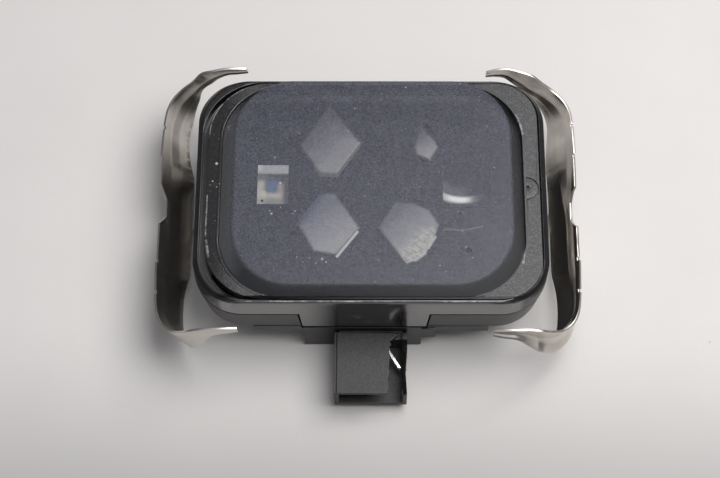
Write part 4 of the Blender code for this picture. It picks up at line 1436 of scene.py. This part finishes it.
@dataclass
class CouplingPad:
    """The soft clear pad: upright in its frame, then sloping in to a hazy flat top."""

    radius: float = 0.01142
    shoulder_z: float = 0.0200
    right_trim: float = 0.00045
    front_trim: float = 0.0002
    slopes: Pair = (0.0024, 0.0006)
    rounding: float = 0.00028
    pimples: tuple[Triple, ...] = (
        (0.01592, -0.00641, 0.00034), (0.01738, -0.01391, 0.00046), (-0.0026, -0.0150, 0.00024))
    pimple_shape: Triple = (1.15, 1.0, 0.80)
    pimple_sunk: float = 0.0001
    fill: float = 1.0
    finish: CouplingSilicone = CouplingSilicone("coupling_silicone")

    def build(self) -> None:
        low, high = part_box("coupling_pad")
        right = high.x - self.right_trim
        front = low.y + self.front_trim
        size, middle = (right - low.x, high.y - front), ((low.x + right) / 2, (front + high.y) / 2)
        pad = Workpiece.slab("coupling_pad_body", size, self.radius, (low.z, self.shoulder_z), middle, 24)
        pad.step_in(self.shoulder_z, high.z - self.shoulder_z, self.slopes, size, middle)
        pad.bevel(lambda edge: lies_level_at(edge, high.z), self.rounding, 4)
        for x, y, radius in self.pimples:
            pad.join(self.make_pimple((x, y, high.z - self.pimple_sunk), radius))
        pad.recalculate().shade(30.0)
        pad.deliver(Body.HOUSING, "pad_silicone", self.finish.build(), "coupling_pad")

    def make_pimple(self, place: Sequence[float], radius: float) -> Workpiece:
        """Make a low bump for the pad's top.

        Args:
            place: Its middle.
            radius: Its radius.

        Returns:
            The bump.
        """
        Workpiece.clear_bench()
        bpy.ops.mesh.primitive_uv_sphere_add(segments=20, ring_count=12, radius=radius, location=place)
        bpy.context.object.scale = self.pimple_shape
        return Workpiece.named("pimple")


@dataclass
class Window:
    """One light window in the lens plate.

    The outline is given in millimetres and goes round counterclockwise.
    """

    node: str
    slot: str
    points: tuple[Point, ...]
    finish: Union[FrostedLens, LightWindow]
    corner: float = 0.0005
    flange: Point = (0.0005, 0.0008)
    proud: float = 0.00004
    cap: Triple = (0.0008, 0.00002, 0.00006)

    def build(self) -> None:
        """Model the window with its flange and its thin cap, and dress it."""
        low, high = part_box(self.node)
        points = [(x * MM, y * MM) for x, y in self.points]
        (flange_reach, flange_height), (cap_reach, cap_low, cap_high) = self.flange, self.cap
        window = Workpiece.outline(f"{self.node}_glass", points, low.z + LAP, high.z + self.proud,
                                   self.corner)
        for name, reach, levels in (("flange", flange_reach, (low.z, low.z + flange_height)),
                                    ("cap", cap_reach, (high.z + cap_low, high.z + cap_high))):
            window.join(Workpiece.outline(name, self.widened(points, reach), *levels, self.corner))
        window.recalculate().shade()
        window.deliver(Body.HOUSING, self.slot, self.finish.build(self.points), self.node)

    @staticmethod
    def widened(points: Sequence[Point], reach: float) -> list[Point]:
        """The outline with each corner moved away from its middle."""
        middle = sum((Vector(point) for point in points), Vector((0.0, 0.0))) / len(points)
        return [tuple(Vector(point) + (Vector(point) - middle).normalized() * reach) for point in points]


def make_windows() -> list[Window]:
    """List the six windows, four frosted and two clear.

    Returns:
        The windows, in the order that they are built.
    """
    # The white paints highlights along the windows' edges.
    highlight_white, dark = (0.90, 0.90, 0.88), (0.14, 0.145, 0.16)
    rear_left = FrostedLens("lens_rear_left", (-7.6, 9.5), dull=(0.11, 0.11, 0.13),
                            bright=(0.40, 0.40, 0.40), marks=(
        ((-7.0, 4.6), (-4.0, 8.6), 3.6, (0.50, 0.50, 0.50), 0.30),
        # A painted highlight along the window's lower edge.
        ((-2.2, 10.4), (-6.2, 4.5), 0.3, (0.60, 0.60, 0.60), 0.5)))
    front_left = FrostedLens("lens_front_left", (-7.6, -6.5), dull=(0.19, 0.20, 0.25), marks=(
        ((-12.6, -5.6), (-9.4, -1.4), 1.3, (0.15, 0.17, 0.25), 0.6),
        ((-2.75, -7.9), (-6.5, -12.6), 0.28, dark, 0.45),
        ((-2.45, -7.9), (-6.1, -12.8), 0.30, highlight_white, 1.0)))
    front_right = FrostedLens("lens_front_right", (7.0, -7.0), bright=(0.60, 0.60, 0.60), marks=(
        ((11.7, -8.9), (10.4, -11.1), 0.30, highlight_white, 0.7), ((9.7, -12.2), (8.1, -13.5), 0.4, highlight_white, 0.5)),
        crumpled=((10.4, -9.6), (7.6, -13.2), 2.0))
    small = FrostedLens("lens_small", (10.3, 10.0), span=(-3.2, 2.8), dull=(0.10, 0.10, 0.12),
                        bright=(0.52, 0.50, 0.50), fade=0.4)
    cream, pale, blue = (0.90, 0.87, 0.78), (0.66, 0.66, 0.68), (0.20, 0.29, 0.47)
    ambient = LightWindow(
        "ambient_window_glass", (0.11, 0.11, 0.115), fade=0.14,
        patches=(
            ((-21.4, 3.9), (-14.9, 6.0), 0.5, pale, 1.0),
            ((-21.2, 4.6), (-20.1, 6.0), 0.9, (0.98, 0.98, 0.98), 0.9),
            ((-21.4, 2.6), (-19.0, 3.9), 1.4, (0.30, 0.30, 0.29), 0.7),
            ((-21.6, -2.6), (-19.4, 2.5), 1.3, cream, 0.85),
            ((-21.6, -1.3), (-16.3, 0.1), 1.1, cream, 0.85),
            ((-21.6, -2.8), (-16.0, -1.0), 1.0, (0.60, 0.57, 0.50), 0.7),
            ((-17.3, -0.8), (-16.1, 1.9), 1.2, (0.80, 0.66, 0.58), 0.75),
            ((-19.2, 0.1), (-17.1, 2.6), 1.7, blue, 0.9)),
        spots=(((-19.7, -0.1), 0.5, 0.8, (1.0, 0.92, 0.74), 0.9),
               ((-16.63, 2.0), 0.22, 0.2, (0.95, 0.95, 0.95), 1.0),
               ((-19.9, -1.6), 0.26, 0.16, (0.01, 0.01, 0.01), 1.0)))
    bow, lit, grey = (16.8, 7.2), (1.0, 0.99, 0.96), (0.36, 0.36, 0.38)
    forward = LightWindow(
        "forward_window_glass", (0.016, 0.018, 0.024), glow=0.38,
        patches=(((13.05, -0.6), (13.35, 4.6), 0.25, grey, 0.22),),
        arcs=((bow, 7.7, 1.2, 2.0, (13.0, 13.4, 15.6, 19.0), grey, 0.34),
              (bow, 8.7, 0.5, 0.8, (13.0, 14.0, 17.0, 21.3), grey, 0.7),
              (bow, 8.65, 0.62, 0.7, (12.9, 13.4, 16.0, 19.6), (0.86, 0.85, 0.82), 1.0),
              (bow, 8.60, 0.25, 0.6, (13.2, 15.0, 16.8, 18.8), lit, 1.0)))
    return [
        Window("rain_lens_rear_left", "lens_clear", (
            (-8.2, 17.9), (-13.1, 9.8), (-9.8, 4.6), (-9.1, 4.1), (-6.3, 3.95), (-2.1, 10.4), (-7.3, 17.9)),
            rear_left, 0.0002),
        Window("rain_lens_front_left", "lens_clear", (
            (-8.5, 0.0), (-13.1, -6.6), (-10.3, -11.7), (-5.9, -12.5), (-2.0, -7.1), (-6.6, -0.1)),
            front_left),
        Window("rain_lens_front_right", "lens_clear", (
            (4.5, -1.8), (1.3, -7.0), (6.4, -14.2), (8.1, -13.6), (9.9, -12.2), (10.3, -11.2),
            (11.5, -9.0), (12.4, -6.4), (10.6, -3.4), (7.8, -2.0)), front_right, 0.0003),
        Window("light_lens_small", "lens_clear", (
            (9.2, 14.1), (8.1, 9.3), (8.5, 8.0), (10.4, 7.4), (10.9, 6.9), (12.4, 9.5), (11.9, 10.6)),
            small, 0.0002),
        Window("ambient_window", "window_clear", (
            (-20.9, 5.75), (-20.9, -2.35), (-15.1, -2.35), (-15.1, 5.75)), ambient, 0.0003),
        Window("forward_window", "window_clear", (
            (13.0, 5.75), (13.0, -2.35), (21.4, -2.35), (21.4, 5.75)), forward, 0.0003),
    ]


# ---------------------------------------------------------------- socket

@dataclass
class Socket:
    """The three-way socket, with its top plate broken away beside the bent contact."""

    wall: float = 0.0009
    back: float = 0.0012
    spigot: float = 0.0011
    slot: tuple[Point, ...] = (
        (0.00425, -0.0230), (0.00479, -0.0238), (0.0040, -0.0246), (0.00349, -0.0250),
        (0.00337, -0.0275), (0.00326, -0.0310), (0.00308, -0.0362))
    dent: tuple[Point, ...] = (
        (0.0072, -0.0362), (0.0072, -0.0262), (0.00668, -0.0262), (0.00642, -0.0292),
        (0.00636, -0.0312), (0.00648, -0.0335), (0.00664, -0.0362))
    torn_wall: tuple[Point, ...] = ((-0.0001, -0.0362), (-0.00015, -0.0310), (0.0, -0.0262))
    torn_root: float = 0.0044
    torn_depth: float = 0.0002
    rail: Triple = (0.0003, 0.00022, 0.0004)
    back_step: Pair = (0.0004, 0.0005)
    pitch: float = 0.0035
    pin: float = 0.0006
    pin_gap: float = 0.0003
    pin_taper: Pair = (0.94, 0.35)
    tip_lean: float = 0.08
    bends: tuple[Point, Point] = ((0.0035, -0.0238), (0.0031, -0.0255))
    ragged: float = 0.00012
    tear: float = 0.0004
    bites: int = 9
    bite: Pair = (0.0015, 0.004)
    bite_lap: float = 0.0005
    slants: Pair = (34.0, 56.0)
    seed: int = 7
    softening: float = 0.00008
    pin_softening: float = 0.00004
    finish: MouldedPlastic = MouldedPlastic(
        "socket_plastic", colour=(0.040, 0.040, 0.043), roughness=0.55, ior=1.5,
        # torn: where the painted shade on the broken right wall starts.
        grain=0.32, grain_depth=0.00004, cloudiness=0.3, mottle=1.6, dust=0.45, torn=(5.45, -24.4, 6.2))
    metal: PlainFinish = PlainFinish("contact_tin", (0.86, 0.85, 0.83), 0.24, 1.0, mottle=0.15)

    def build(self) -> None:
        """Model the socket and its contacts, and dress them."""
        self.build_shroud()
        self.build_contacts()

    def build_shroud(self) -> None:
        """Model the shroud: a box open to the front, broken open at its top right."""
        low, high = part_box("connector_shroud")
        back = high.y - self.spigot
        inner = high.x - self.wall
        floor, ceiling = low.z + self.wall, high.z - self.wall
        shroud = Workpiece.block("socket_shroud", (low.x, low.y, low.z), (high.x, back, high.z))
        shroud.join(Workpiece.block("spigot", (-inner, back - self.wall, floor),
                                    (inner, high.y, ceiling)))
        grip, pitch = self.pin / 2 + self.pin_gap, self.pitch
        middle = (low.z + high.z) / 2
        (inset, width, depth), (step_length, step_depth) = self.rail, self.back_step
        hole = Workpiece.block("hole", (-pitch - grip, back - self.back - PAST, middle - grip),
                               (-pitch + grip, high.y + PAST, middle + grip))
        shroud.cut(
            Workpiece.block("well", (-inner, low.y - 2 * PAST, floor), (inner, back - self.back, ceiling)),
            self.make_break(high, inner, back),
            Workpiece.outline("dent", self.dent, low.z - PAST, high.z + PAST),
            Workpiece.block("rail_line", (low.x + inset, low.y - PAST, high.z - depth),
                            (low.x + inset + width, back - step_length, high.z + PAST)),
            Workpiece.block("back_step", (low.x - PAST, back - step_length, high.z - step_depth),
                            (high.x + PAST, back + PAST, high.z + PAST)),
            *hole.repeated((pitch, 0.0, 0.0), (2 * pitch, 0.0, 0.0)),
            *self.make_tears(low, high))
        shroud.soften(self.softening)
        shroud.deliver(Body.HOUSING, "socket_plastic", self.finish.build(), "connector_shroud")

    def make_break(self, high: Vector, inner: float, back: float) -> Workpiece:
        """Make the broken corner of the top plate, with torn edges.

        Args:
            high: The highest corner of the node's box.
            inner: The inside of the right wall.
            back: The back of the shroud.

        Returns:
            The tool.
        """
        dice = random.Random(self.seed)
        edge = []
        for start, end in zip(self.slot, self.slot[1:]):
            for step in range(4):
                point = Vector(start).lerp(Vector(end), step / 4)
                edge.append((point.x + dice.uniform(-1, 1) * self.ragged, point.y))
        points = [*edge, self.slot[-1], *((inner + x, y) for x, y in self.torn_wall),
                  (inner, back), (self.torn_root, back)]
        return Workpiece.outline("break", points, high.z - self.wall - self.torn_depth, high.z + PAST)

    def make_tears(self, low: Vector, high: Vector) -> list[Workpiece]:
        """Make the slanted bites that the break left in the top of the right wall.

        Args:
            low: The lowest corner of the node's box.
            high: Its highest corner.

        Returns:
            The tools.
        """
        dice = random.Random(self.seed + 1)
        bites = []
        step = (self.slot[2][1] - low.y) / self.bites
        half, height = self.bite
        for index in range(self.bites):
            near = low.y - PAST if index == 0 else low.y + index * step
            depth = dice.uniform(0.1, 1.0) * self.tear
            far = low.y + (index + 1 + self.bite_lap) * step
            bite = Workpiece.block("bite", (-half, near, 0.0), (half, far, height))
            slant = Matrix.Rotation(math.radians(-dice.uniform(*self.slants)), 4, "Y")
            bites.append(bite.place(Matrix.Translation((high.x, 0.0, high.z - depth)) @ slant))
        return bites

    def build_contacts(self) -> None:
        """Model the two straight contacts and the bent one, and dress them."""
        straight = self.make_contact("contact_left", -self.pitch)
        pins = {"contact_left": straight,
                "contact_middle": straight.copied("contact_middle_pin", (self.pitch, 0.0, 0.0)),
                "contact_bent": self.make_contact("contact_bent", self.pitch, bent=True)}
        material = self.metal.build()
        for node, pin in pins.items():
            pin.deliver(Body.HOUSING, "tinned_contact", material, node)

    def make_contact(self, node: str, root: float, bent: bool = False) -> Workpiece:
        """Make a square pin from its tail in the board to its pointed tip.

        Args:
            node: The frame node that it stands for.
            root: Where its root is on X.
            bent: Whether its tip is bent aside.

        Returns:
            The pin.
        """
        low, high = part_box(node)
        half = self.pin / 2
        z = low.z + half
        tail_y = high.y - half
        pin = Workpiece.block(f"{node}_pin", (root - half, tail_y - half, z - half),
                              (root + half, tail_y + half, high.z))
        with pin.editing():
            pin.pick(Pick.FACE, lambda face: face.normal.y < -0.9)
            bpy.ops.transform.resize(value=(1.0, 1.0, self.pin / (high.z - z + half)),
                                     center_override=(root, tail_y, z - half))
            tip_x = root
            if bent:
                tip_x = high.x - half * 0.9
                (far_x, far_y), (near_x, near_y) = self.bends
                pin.extrude((0.0, far_y - (tail_y - half), 0.0))
                pin.extrude((near_x - far_x, near_y - far_y, 0.0))
                tip_y = low.y + half * 1.5
                pin.extrude((tip_x - near_x, tip_y - near_y, 0.0))
            else:
                pin.extrude((0.0, low.y + half - (tail_y - half), 0.0))
            shaft, tip = self.pin_taper
            bpy.ops.transform.resize(value=(shaft, 1.0, shaft), center_override=(tip_x, 0.0, z))
            pin.extrude(((tip_x - root) * self.tip_lean, -half, 0.0))
            bpy.ops.transform.resize(value=(tip, 1.0, tip), center_override=(tip_x, 0.0, z))
        return pin.soften(self.pin_softening, angle=25.0)


# ---------------------------------------------------------------- clips

@dataclass(frozen=True)
class ArmShape:
    """How one arm of a clip departs from the plain arm, station by station, how far its creases
    stand out across the strip, how far its lower edge leans out and down towards its tip, and how
    much of its own creases it has at the clip's middle."""

    dips: tuple[float, ...]
    reaches: tuple[float, ...]
    stands: tuple[float, ...]
    lean: float = 0.0
    middle_share: float = 0.5


@dataclass
class SpringClip:
    """A sprung steel clip: a creased strip that wraps the housing's side, and its hinged foot.

    It is made for the right side at its relaxed angle, and mirrored and swung where needed.
    The stations give its upper and lower edge from the middle to the tip, in millimetres from
    the housing's side, its end and the table.
    """

    side: Side
    rear_arm: ArmShape
    front_arm: ArmShape
    swing: float = 0.0
    recess_shift: float = 0.0
    thickness: float = 0.00045
    corner: Pair = (0.0320, 0.0227)
    hinge: Pair = RearCover.hinge
    stations: tuple[tuple[Triple, Triple], ...] = (
        ((6.3, -22.7, 12.8), (2.1, -22.7, 3.2)),
        ((6.3, -13.5, 12.8), (2.1, -13.5, 3.2)),
        ((6.3, -10.7, 12.8), (2.3, -10.7, 4.2)),
        ((6.2, -7.7, 12.8), (2.6, -7.7, 5.0)),
        ((6.1, -4.7, 12.7), (2.7, -4.5, 5.0)),
        ((5.7, -1.7, 12.6), (2.4, -1.2, 5.2)),
        ((4.6, 0.7, 12.8), (1.6, 1.3, 6.0)),
        ((2.6, 2.5, 13.6), (0.2, 3.0, 7.8)),
        ((0.5, 3.4, 15.1), (-1.7, 3.7, 10.0)),
        ((-1.4, 3.8, 16.5), (-3.4, 3.8, 12.0)),
        ((-3.6, 3.9, 17.2), (-5.0, 3.9, 14.0)),
        ((-5.8, 4.0, 17.4), (-6.4, 4.0, 15.0)),
        ((-8.0, 3.9, 17.2), (-8.2, 3.9, 15.1)),
        ((-10.1, 3.7, 16.6), (-10.1, 3.7, 15.2)),
    )
    steps: int = 7
    shares: tuple[float, ...] = (
        0.0, 0.05, 0.10, 0.17, 0.30, 0.345, 0.375, 0.42, 0.54, 0.60, 0.63, 0.655, 0.68, 0.82, 1.0)
    lean: Pair = (0.43, -0.895)
    lean_stations: Pair = (6.0, 9.0)
    crease_blend: float = 0.9
    crease_width: float = 0.0060
    crease_run_out: Pair = (4.6, 8.4)
    crease_crowding: float = 0.8
    recess: Triple = (0.0018, 0.0026, 0.0026)
    nicks: Pair = (0.0103, 0.0167)
    nick_size: Pair = (0.0007, 0.0005)
    lowered: float = 0.00028
    softening: float = 0.00004
    foot_half: float = 0.0092
    foot_turns: tuple[Pair, ...] = ((0.0036, -0.0002), (0.0022, -0.0009))
    eye_radius: float = 0.001125
    eye_turn: float = 241.0
    eye_steps: int = 20
    finish: SpringSteel = SpringSteel("spring_steel")

    def build(self) -> None:
        """Model the clip, swing it to its angle, and dress it."""
        left = self.side is Side.LEFT
        name = "clip_left" if left else "clip_right"
        strip = Workpiece.sheet(f"{name}_spring", self.strip_rows())
        self.draw_foot(strip)
        strip.modify("SOLIDIFY", thickness=self.thickness, offset=0.0, use_even_offset=True)
        strip.cut(*self.edge_cutters())
        strip.soften(self.softening, angle=48.0)
        x, z = self.hinge
        turn = Matrix.Translation((x, 0.0, z)) @ Matrix.Rotation(self.swing, 4, "Y") \
            @ Matrix.Translation((-x, 0.0, -z))
        strip.place(turn)
        if left:
            strip.place(Matrix.Diagonal((-1.0, 1.0, 1.0, 1.0)))
        body = Body.CLIP_LEFT if left else Body.CLIP_RIGHT
        strip.deliver(body, "spring_steel", self.finish.build(), name)

    def edges(self, arm: ArmShape) -> tuple[list[Vector], list[Vector]]:
        """Lay the strip's upper and lower edge from its middle to one tip.

        Args:
            arm: The arm.

        Returns:
            The two edges as smooth lines.
        """
        side_x, end_y = self.corner
        start, end = self.lean_stations
        tops, lows = [], []
        for index, ((top, low), dip, reach) in enumerate(zip(self.stations, arm.dips, arm.reaches)):
            top, low = (Vector((side_x + x * MM, end_y + (y + dip) * MM, z * MM))
                        for x, y, z in (top, low))
            ramp = min(1.0, max(0.0, (index - start) / (end - start)))
            tops.append(top)
            lows.append(top.lerp(low, reach) + Vector((0.0, *self.lean)) * (arm.lean * ramp * MM))
        return smooth_line(tops, self.steps), smooth_line(lows, self.steps)

    def arm_rows(self, arm: ArmShape, opposite: ArmShape) -> list[list[Vector]]:
        """Lay rows of points across the strip, from its middle to one tip.

        Args:
            arm: The arm.
            opposite: The other arm, whose creases it meets in the middle.

        Returns:
            The rows.
        """
        tops, lows = self.edges(arm)
        rows = []
        for index, (top, low) in enumerate(zip(tops, lows)):
            after, before = tops[min(index + 1, len(tops) - 1)], tops[max(index - 1, 0)]
            outward = (after - before).cross(low - top).normalized()
            if outward.dot(Vector((1, 1, 0))) < 0:
                outward = -outward
            fade = min(1.0, (low - top).length / self.crease_width)
            start, end = self.crease_run_out
            run_out = min(1.0, max(0.0, (index / self.steps - start) / (end - start)))
            blend = min(1.0, arm.middle_share + index / self.steps * self.crease_blend)
            stands = [near * blend + other * (1.0 - blend)
                      for near, other in zip(arm.stands, opposite.stands)]
            power = 1.0 - self.crease_crowding * run_out
            rows.append([top.lerp(low, share ** power) + outward * (stand * MM * fade)
                         for share, stand in zip(self.shares, stands)])
        return rows

    def strip_rows(self) -> list[list[Vector]]:
        """Lay rows of points across the strip, from its front tip to its rear tip.

        Returns:
            The rows.
        """
        front = [[Vector((p.x, -p.y, p.z)) for p in row]
                 for row in self.arm_rows(self.front_arm, self.rear_arm)]
        return front[:0:-1] + self.arm_rows(self.rear_arm, self.front_arm)

    def draw_foot(self, strip: Workpiece) -> None:
        """Draw the foot out of the strip's lower edge, and curl it round the hinge pin.

        Args:
            strip: The strip, still without a thickness.
        """
        x, z = self.hinge
        edge_x, edge_z = self.corner[0] + self.stations[0][1][0] * MM, self.stations[0][1][2] * MM
        reach = self.foot_half + NEARBY
        stops = [(x + across, z + up) for across, up in self.foot_turns] + [(x, z - self.eye_radius)]
        with strip.editing():
            strip.pick(Pick.EDGE, lambda edge: edge.is_boundary and all(
                abs(vert.co.y) < reach and math.hypot(vert.co.x - edge_x, vert.co.z - edge_z) < NEARBY
                for vert in edge.verts))
            here = (edge_x, edge_z)
            for stop in stops:
                strip.extrude((stop[0] - here[0], 0.0, stop[1] - here[1]))
                here = stop
            bpy.ops.mesh.spin(steps=self.eye_steps, angle=-math.radians(self.eye_turn), center=(x, 0.0, z),
                              axis=(0.0, 1.0, 0.0))
        strip.recalculate()

    def edge_cutters(self) -> list[Workpiece]:
        """Make the tools for the recess, the nicks and the lowered stretches of the upper edge.

        Returns:
            The tools.
        """
        half, ramp, depth = self.recess
        wide, shift, over = half + ramp, self.recess_shift, 2 * PAST
        recess = [(-wide - over, over), (-wide, 0.0), (-half, -depth), (half, -depth), (wide, 0.0),
                  (wide + over, over)]
        width, deep = self.nick_size
        first, *others = (start for place in self.nicks for start in (-place - width, place))
        nick = self.notch(first, first + width, deep)
        start, end = wide - 2 * LAP, self.nicks[0] + width / 2
        return [self.web_cutter([(y + shift, down) for y, down in recess]),
                *nick.repeated(*((0.0, other - first, 0.0) for other in others)),
                self.notch(-end, shift - start, self.lowered), self.notch(shift + start, end, self.lowered)]

    def notch(self, near: float, far: float, depth: float) -> Workpiece:
        """Make a tool for a square notch in the upper edge.

        Args:
            near: Where it starts on Y.
            far: Where it ends.
            depth: How deep it is.

        Returns:
            The tool.
        """
        over = 2 * PAST
        return self.web_cutter([(near, -depth), (far, -depth), (far, over), (near, over)])

    def web_cutter(self, points: Sequence[Point]) -> Workpiece:
        """Make a tool that passes through the strip.

        Args:
            points: Its outline along Y and down the web from the upper edge.

        Returns:
            The tool.
        """
        top, low = (Vector((self.corner[0] + x * MM, 0.0, z * MM)) for x, _, z in self.stations[0])
        down, across = (top - low).normalized(), Vector((0.0, 1.0, 0.0))
        tool = Workpiece.outline("web_cutter", points, -2 * PAST, 2 * PAST)
        axes = Matrix((across, down, across.cross(down))).transposed().to_4x4()
        return tool.place(Matrix.Translation(top) @ axes)


def make_clips() -> list[SpringClip]:
    """List the two clips: the left one stands swung outwards and is bent at its rear.

    Returns:
        The clips, right and left.
    """
    level = (0.0,) * 14
    plain = (0.0, 0.08, 0.16, 0.27, 0.50, 0.56, 0.56, 0.50, 0.32, 0.24, 0.20, 0.19, 0.19, 0.12, 0.0)
    flared = (0.0, -0.14, -0.28, -0.08, 0.30, 0.50, 0.64, 0.85, 1.40, 1.62, 1.68, 1.63, 1.54, 0.81, 0.0)
    slight = (0.0, 0.02, 0.04, 0.08, 0.14, 0.16, 0.17, 0.16, 0.12, 0.10, 0.08, 0.07, 0.06, 0.03, 0.0)
    reaches = (1.0,) * 7 + (1.16, 1.06, 1.0, 1.0, 1.0, 1.0, 1.0)
    right = ArmShape(
        (0.0, 0.0, 0.0, 0.0, -0.3, -0.7, -0.9, -1.1, -1.2, -0.85, -0.5, -0.1, 0.0, 0.0),
        (1.0, 1.0, 1.09, 1.16, 1.12, 1.02, 1.0, 1.0, 1.0, 1.0, 1.1, 1.2, 1.05, 1.0), plain, 1.5, 0.0)
    left = ArmShape(
        (0.0, 0.0, 0.0, 0.0, 0.0, 0.0, -0.1, -0.35, -0.75, -0.35, -0.45, -0.35, -0.1, 0.3),
        (1.0, 1.0, 0.96, 0.93, 0.91, 0.98, 0.95, 0.86, 0.6, 0.72, 0.72, 0.8, 0.9, 1.0), plain, 1.0)
    return [SpringClip(Side.RIGHT, right, ArmShape(level, reaches, flared, middle_share=1.0)),
            SpringClip(Side.LEFT, left, ArmShape(level, reaches, slight), swing=math.radians(7.0),
                       recess_shift=0.0011)]


def smooth_line(points: Sequence[Vector], steps: int) -> list[Vector]:
    """A Catmull-Rom line through points.

    Args:
        points: The points that it goes through.
        steps: How many steps each stretch has.

    Returns:
        The line's own points.
    """
    padded = [2 * points[0] - points[1], *points, 2 * points[-1] - points[-2]]
    line = []
    for a, b, c, d in zip(padded, padded[1:], padded[2:], padded[3:]):
        for step in range(steps):
            t = step / steps
            line.append(0.5 * (2 * b + (c - a) * t + (2 * a - 5 * b + 4 * c - d) * t ** 2
                               + (3 * b - a - 3 * c + d) * t ** 3))
    return [*line, points[-1]]


# ---------------------------------------------------------------- enclosed parts

@dataclass
class EnclosedParts:
    """The frame's own solids that stay as they are, with a finish for each kind."""

    finishes: dict[PlainFinish, tuple[str, ...]] = field(default_factory=lambda: {
        PlainFinish("plate_plastic", (0.016, 0.018, 0.024), 0.30, mottle=0.5): ("lens_plate",),
        PlainFinish("board_resin", (0.012, 0.075, 0.030), 0.42, second=(0.03, 0.14, 0.05),
                    second_share=0.8): ("circuit_board",),
        PlainFinish("mask_plastic", (0.020, 0.020, 0.021), 0.6): ("light_guide_mask",),
        PlainFinish("dark_epoxy", (0.018, 0.018, 0.020), 0.42): (
            "emitter_left", "emitter_right", "receiver_left", "receiver_right", "controller_chip",
            "transceiver_chip"),
        PlainFinish("clear_epoxy", (0.50, 0.54, 0.58), 0.15): ("ambient_sensor", "forward_sensor"),
        PlainFinish("white_epoxy", (0.72, 0.71, 0.68), 0.45): ("humidity_sensor",),
        PlainFinish("capacitor_can", (0.72, 0.72, 0.73), 0.28, 1.0): ("filter_capacitor",),
        PlainFinish("seal_rubber", (0.022, 0.022, 0.022), 0.8): ("housing_seal",),
        PlainFinish("pin_steel", (0.60, 0.59, 0.57), 0.25, 1.0): ("hinge_pin_left", "hinge_pin_right"),
    })

    def dress(self) -> None:
        """Give every node its finish."""
        for finish, nodes in self.finishes.items():
            material = finish.build()
            for name in nodes:
                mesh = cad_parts[name].data
                mesh.materials.clear()
                mesh.materials.append(material)
            LOG.info("%s: %s", finish.name, ", ".join(nodes))


# ---------------------------------------------------------------- studio

@dataclass
class Studio:
    """The table, the soft lights and the camera."""

    eye: Triple = (0.000066, -0.14541, 0.30915)
    heading: float = -0.856
    elevation: float = 64.94
    roll: float = -0.692
    lens: float = 88.85
    table_half: float = 1.6
    sky: Colour = (0.86, 0.88, 0.93)
    sky_strength: float = 0.14
    lamps: tuple[tuple[str, Triple, float, float, Colour], ...] = (
        ("key", (0.19, 0.04, 0.44), 0.40, 2.5, (1.0, 0.985, 0.97)),
        ("ceiling", (0.0, -0.10, 1.0), 1.6, 2.6, (0.97, 0.98, 1.0)))

    def build(self) -> None:
        """Set up the table, the lights and the camera."""
        self.make_table()
        self.make_sky()
        for lamp in self.lamps:
            self.make_light(*lamp)
        self.make_camera()

    def make_table(self) -> None:
        """Lay the table under the module."""
        Workpiece.clear_bench()
        bpy.ops.mesh.primitive_plane_add(size=2 * self.table_half, location=(0.0, 0.0, 0.0))
        table = bpy.context.object
        table.name = "table"
        table.data.materials.append(TableTop().build())

    def make_sky(self) -> None:
        """Fill the room with even light."""
        world = bpy.data.worlds.new("studio")
        bpy.context.scene.world = world
        world.use_nodes = True
        background = world.node_tree.nodes["Background"]
        background.inputs["Color"].default_value = (*self.sky, 1.0)
        background.inputs["Strength"].default_value = self.sky_strength
        bpy.context.scene.view_settings.view_transform = "Standard"

    def make_light(self, name: str, place: Sequence[float], size: float, power: float,
                   colour: Colour) -> None:
        """Hang a soft light that faces the module.

        Args:
            name: The light's name.
            place: Where it hangs.
            size: The side of its square.
            power: Its power in watts.
            colour: Its colour.
        """
        lamp = bpy.data.lights.new(name, "AREA")
        lamp.shape, lamp.size, lamp.energy, lamp.color = "SQUARE", size, power, colour
        obj = bpy.data.objects.new(name, lamp)
        bpy.context.scene.collection.objects.link(obj)
        obj.location = place
        obj.rotation_mode = "QUATERNION"
        obj.rotation_quaternion = (-Vector(place)).to_track_quat("-Z", "Y")

    def make_camera(self) -> None:
        """Stand the camera over the socket's side, looking down."""
        heading, elevation = math.radians(self.heading), math.radians(self.elevation)
        ahead = Vector((math.sin(heading) * math.cos(elevation),
                        math.cos(heading) * math.cos(elevation), -math.sin(elevation)))
        camera = bpy.data.cameras.new("camera")
        camera.lens, camera.sensor_width = self.lens, 36.0
        camera.clip_start, camera.clip_end = 0.01, 20.0
        obj = bpy.data.objects.new("camera", camera)
        bpy.context.scene.collection.objects.link(obj)
        obj.location = self.eye
        obj.rotation_mode = "QUATERNION"
        turn = Quaternion((0.0, 0.0, 1.0), math.radians(self.roll))
        obj.rotation_quaternion = ahead.to_track_quat("-Z", "Y") @ turn
        bpy.context.scene.camera = obj


def main() -> None:
    """Build the studio and every sub-assembly in order."""
    logging.basicConfig(level=logging.INFO, format="%(name)s: %(message)s")
    Studio().build()
    Bezel().build()
    RearCover().build()
    PadFrame().build()
    CouplingPad().build()
    for window in make_windows():
        window.build()
    Socket().build()
    for clip in make_clips():
        clip.build()
    EnclosedParts().dress()
    Workpiece.clear_bench()


if __name__ == "__main__":
    main()
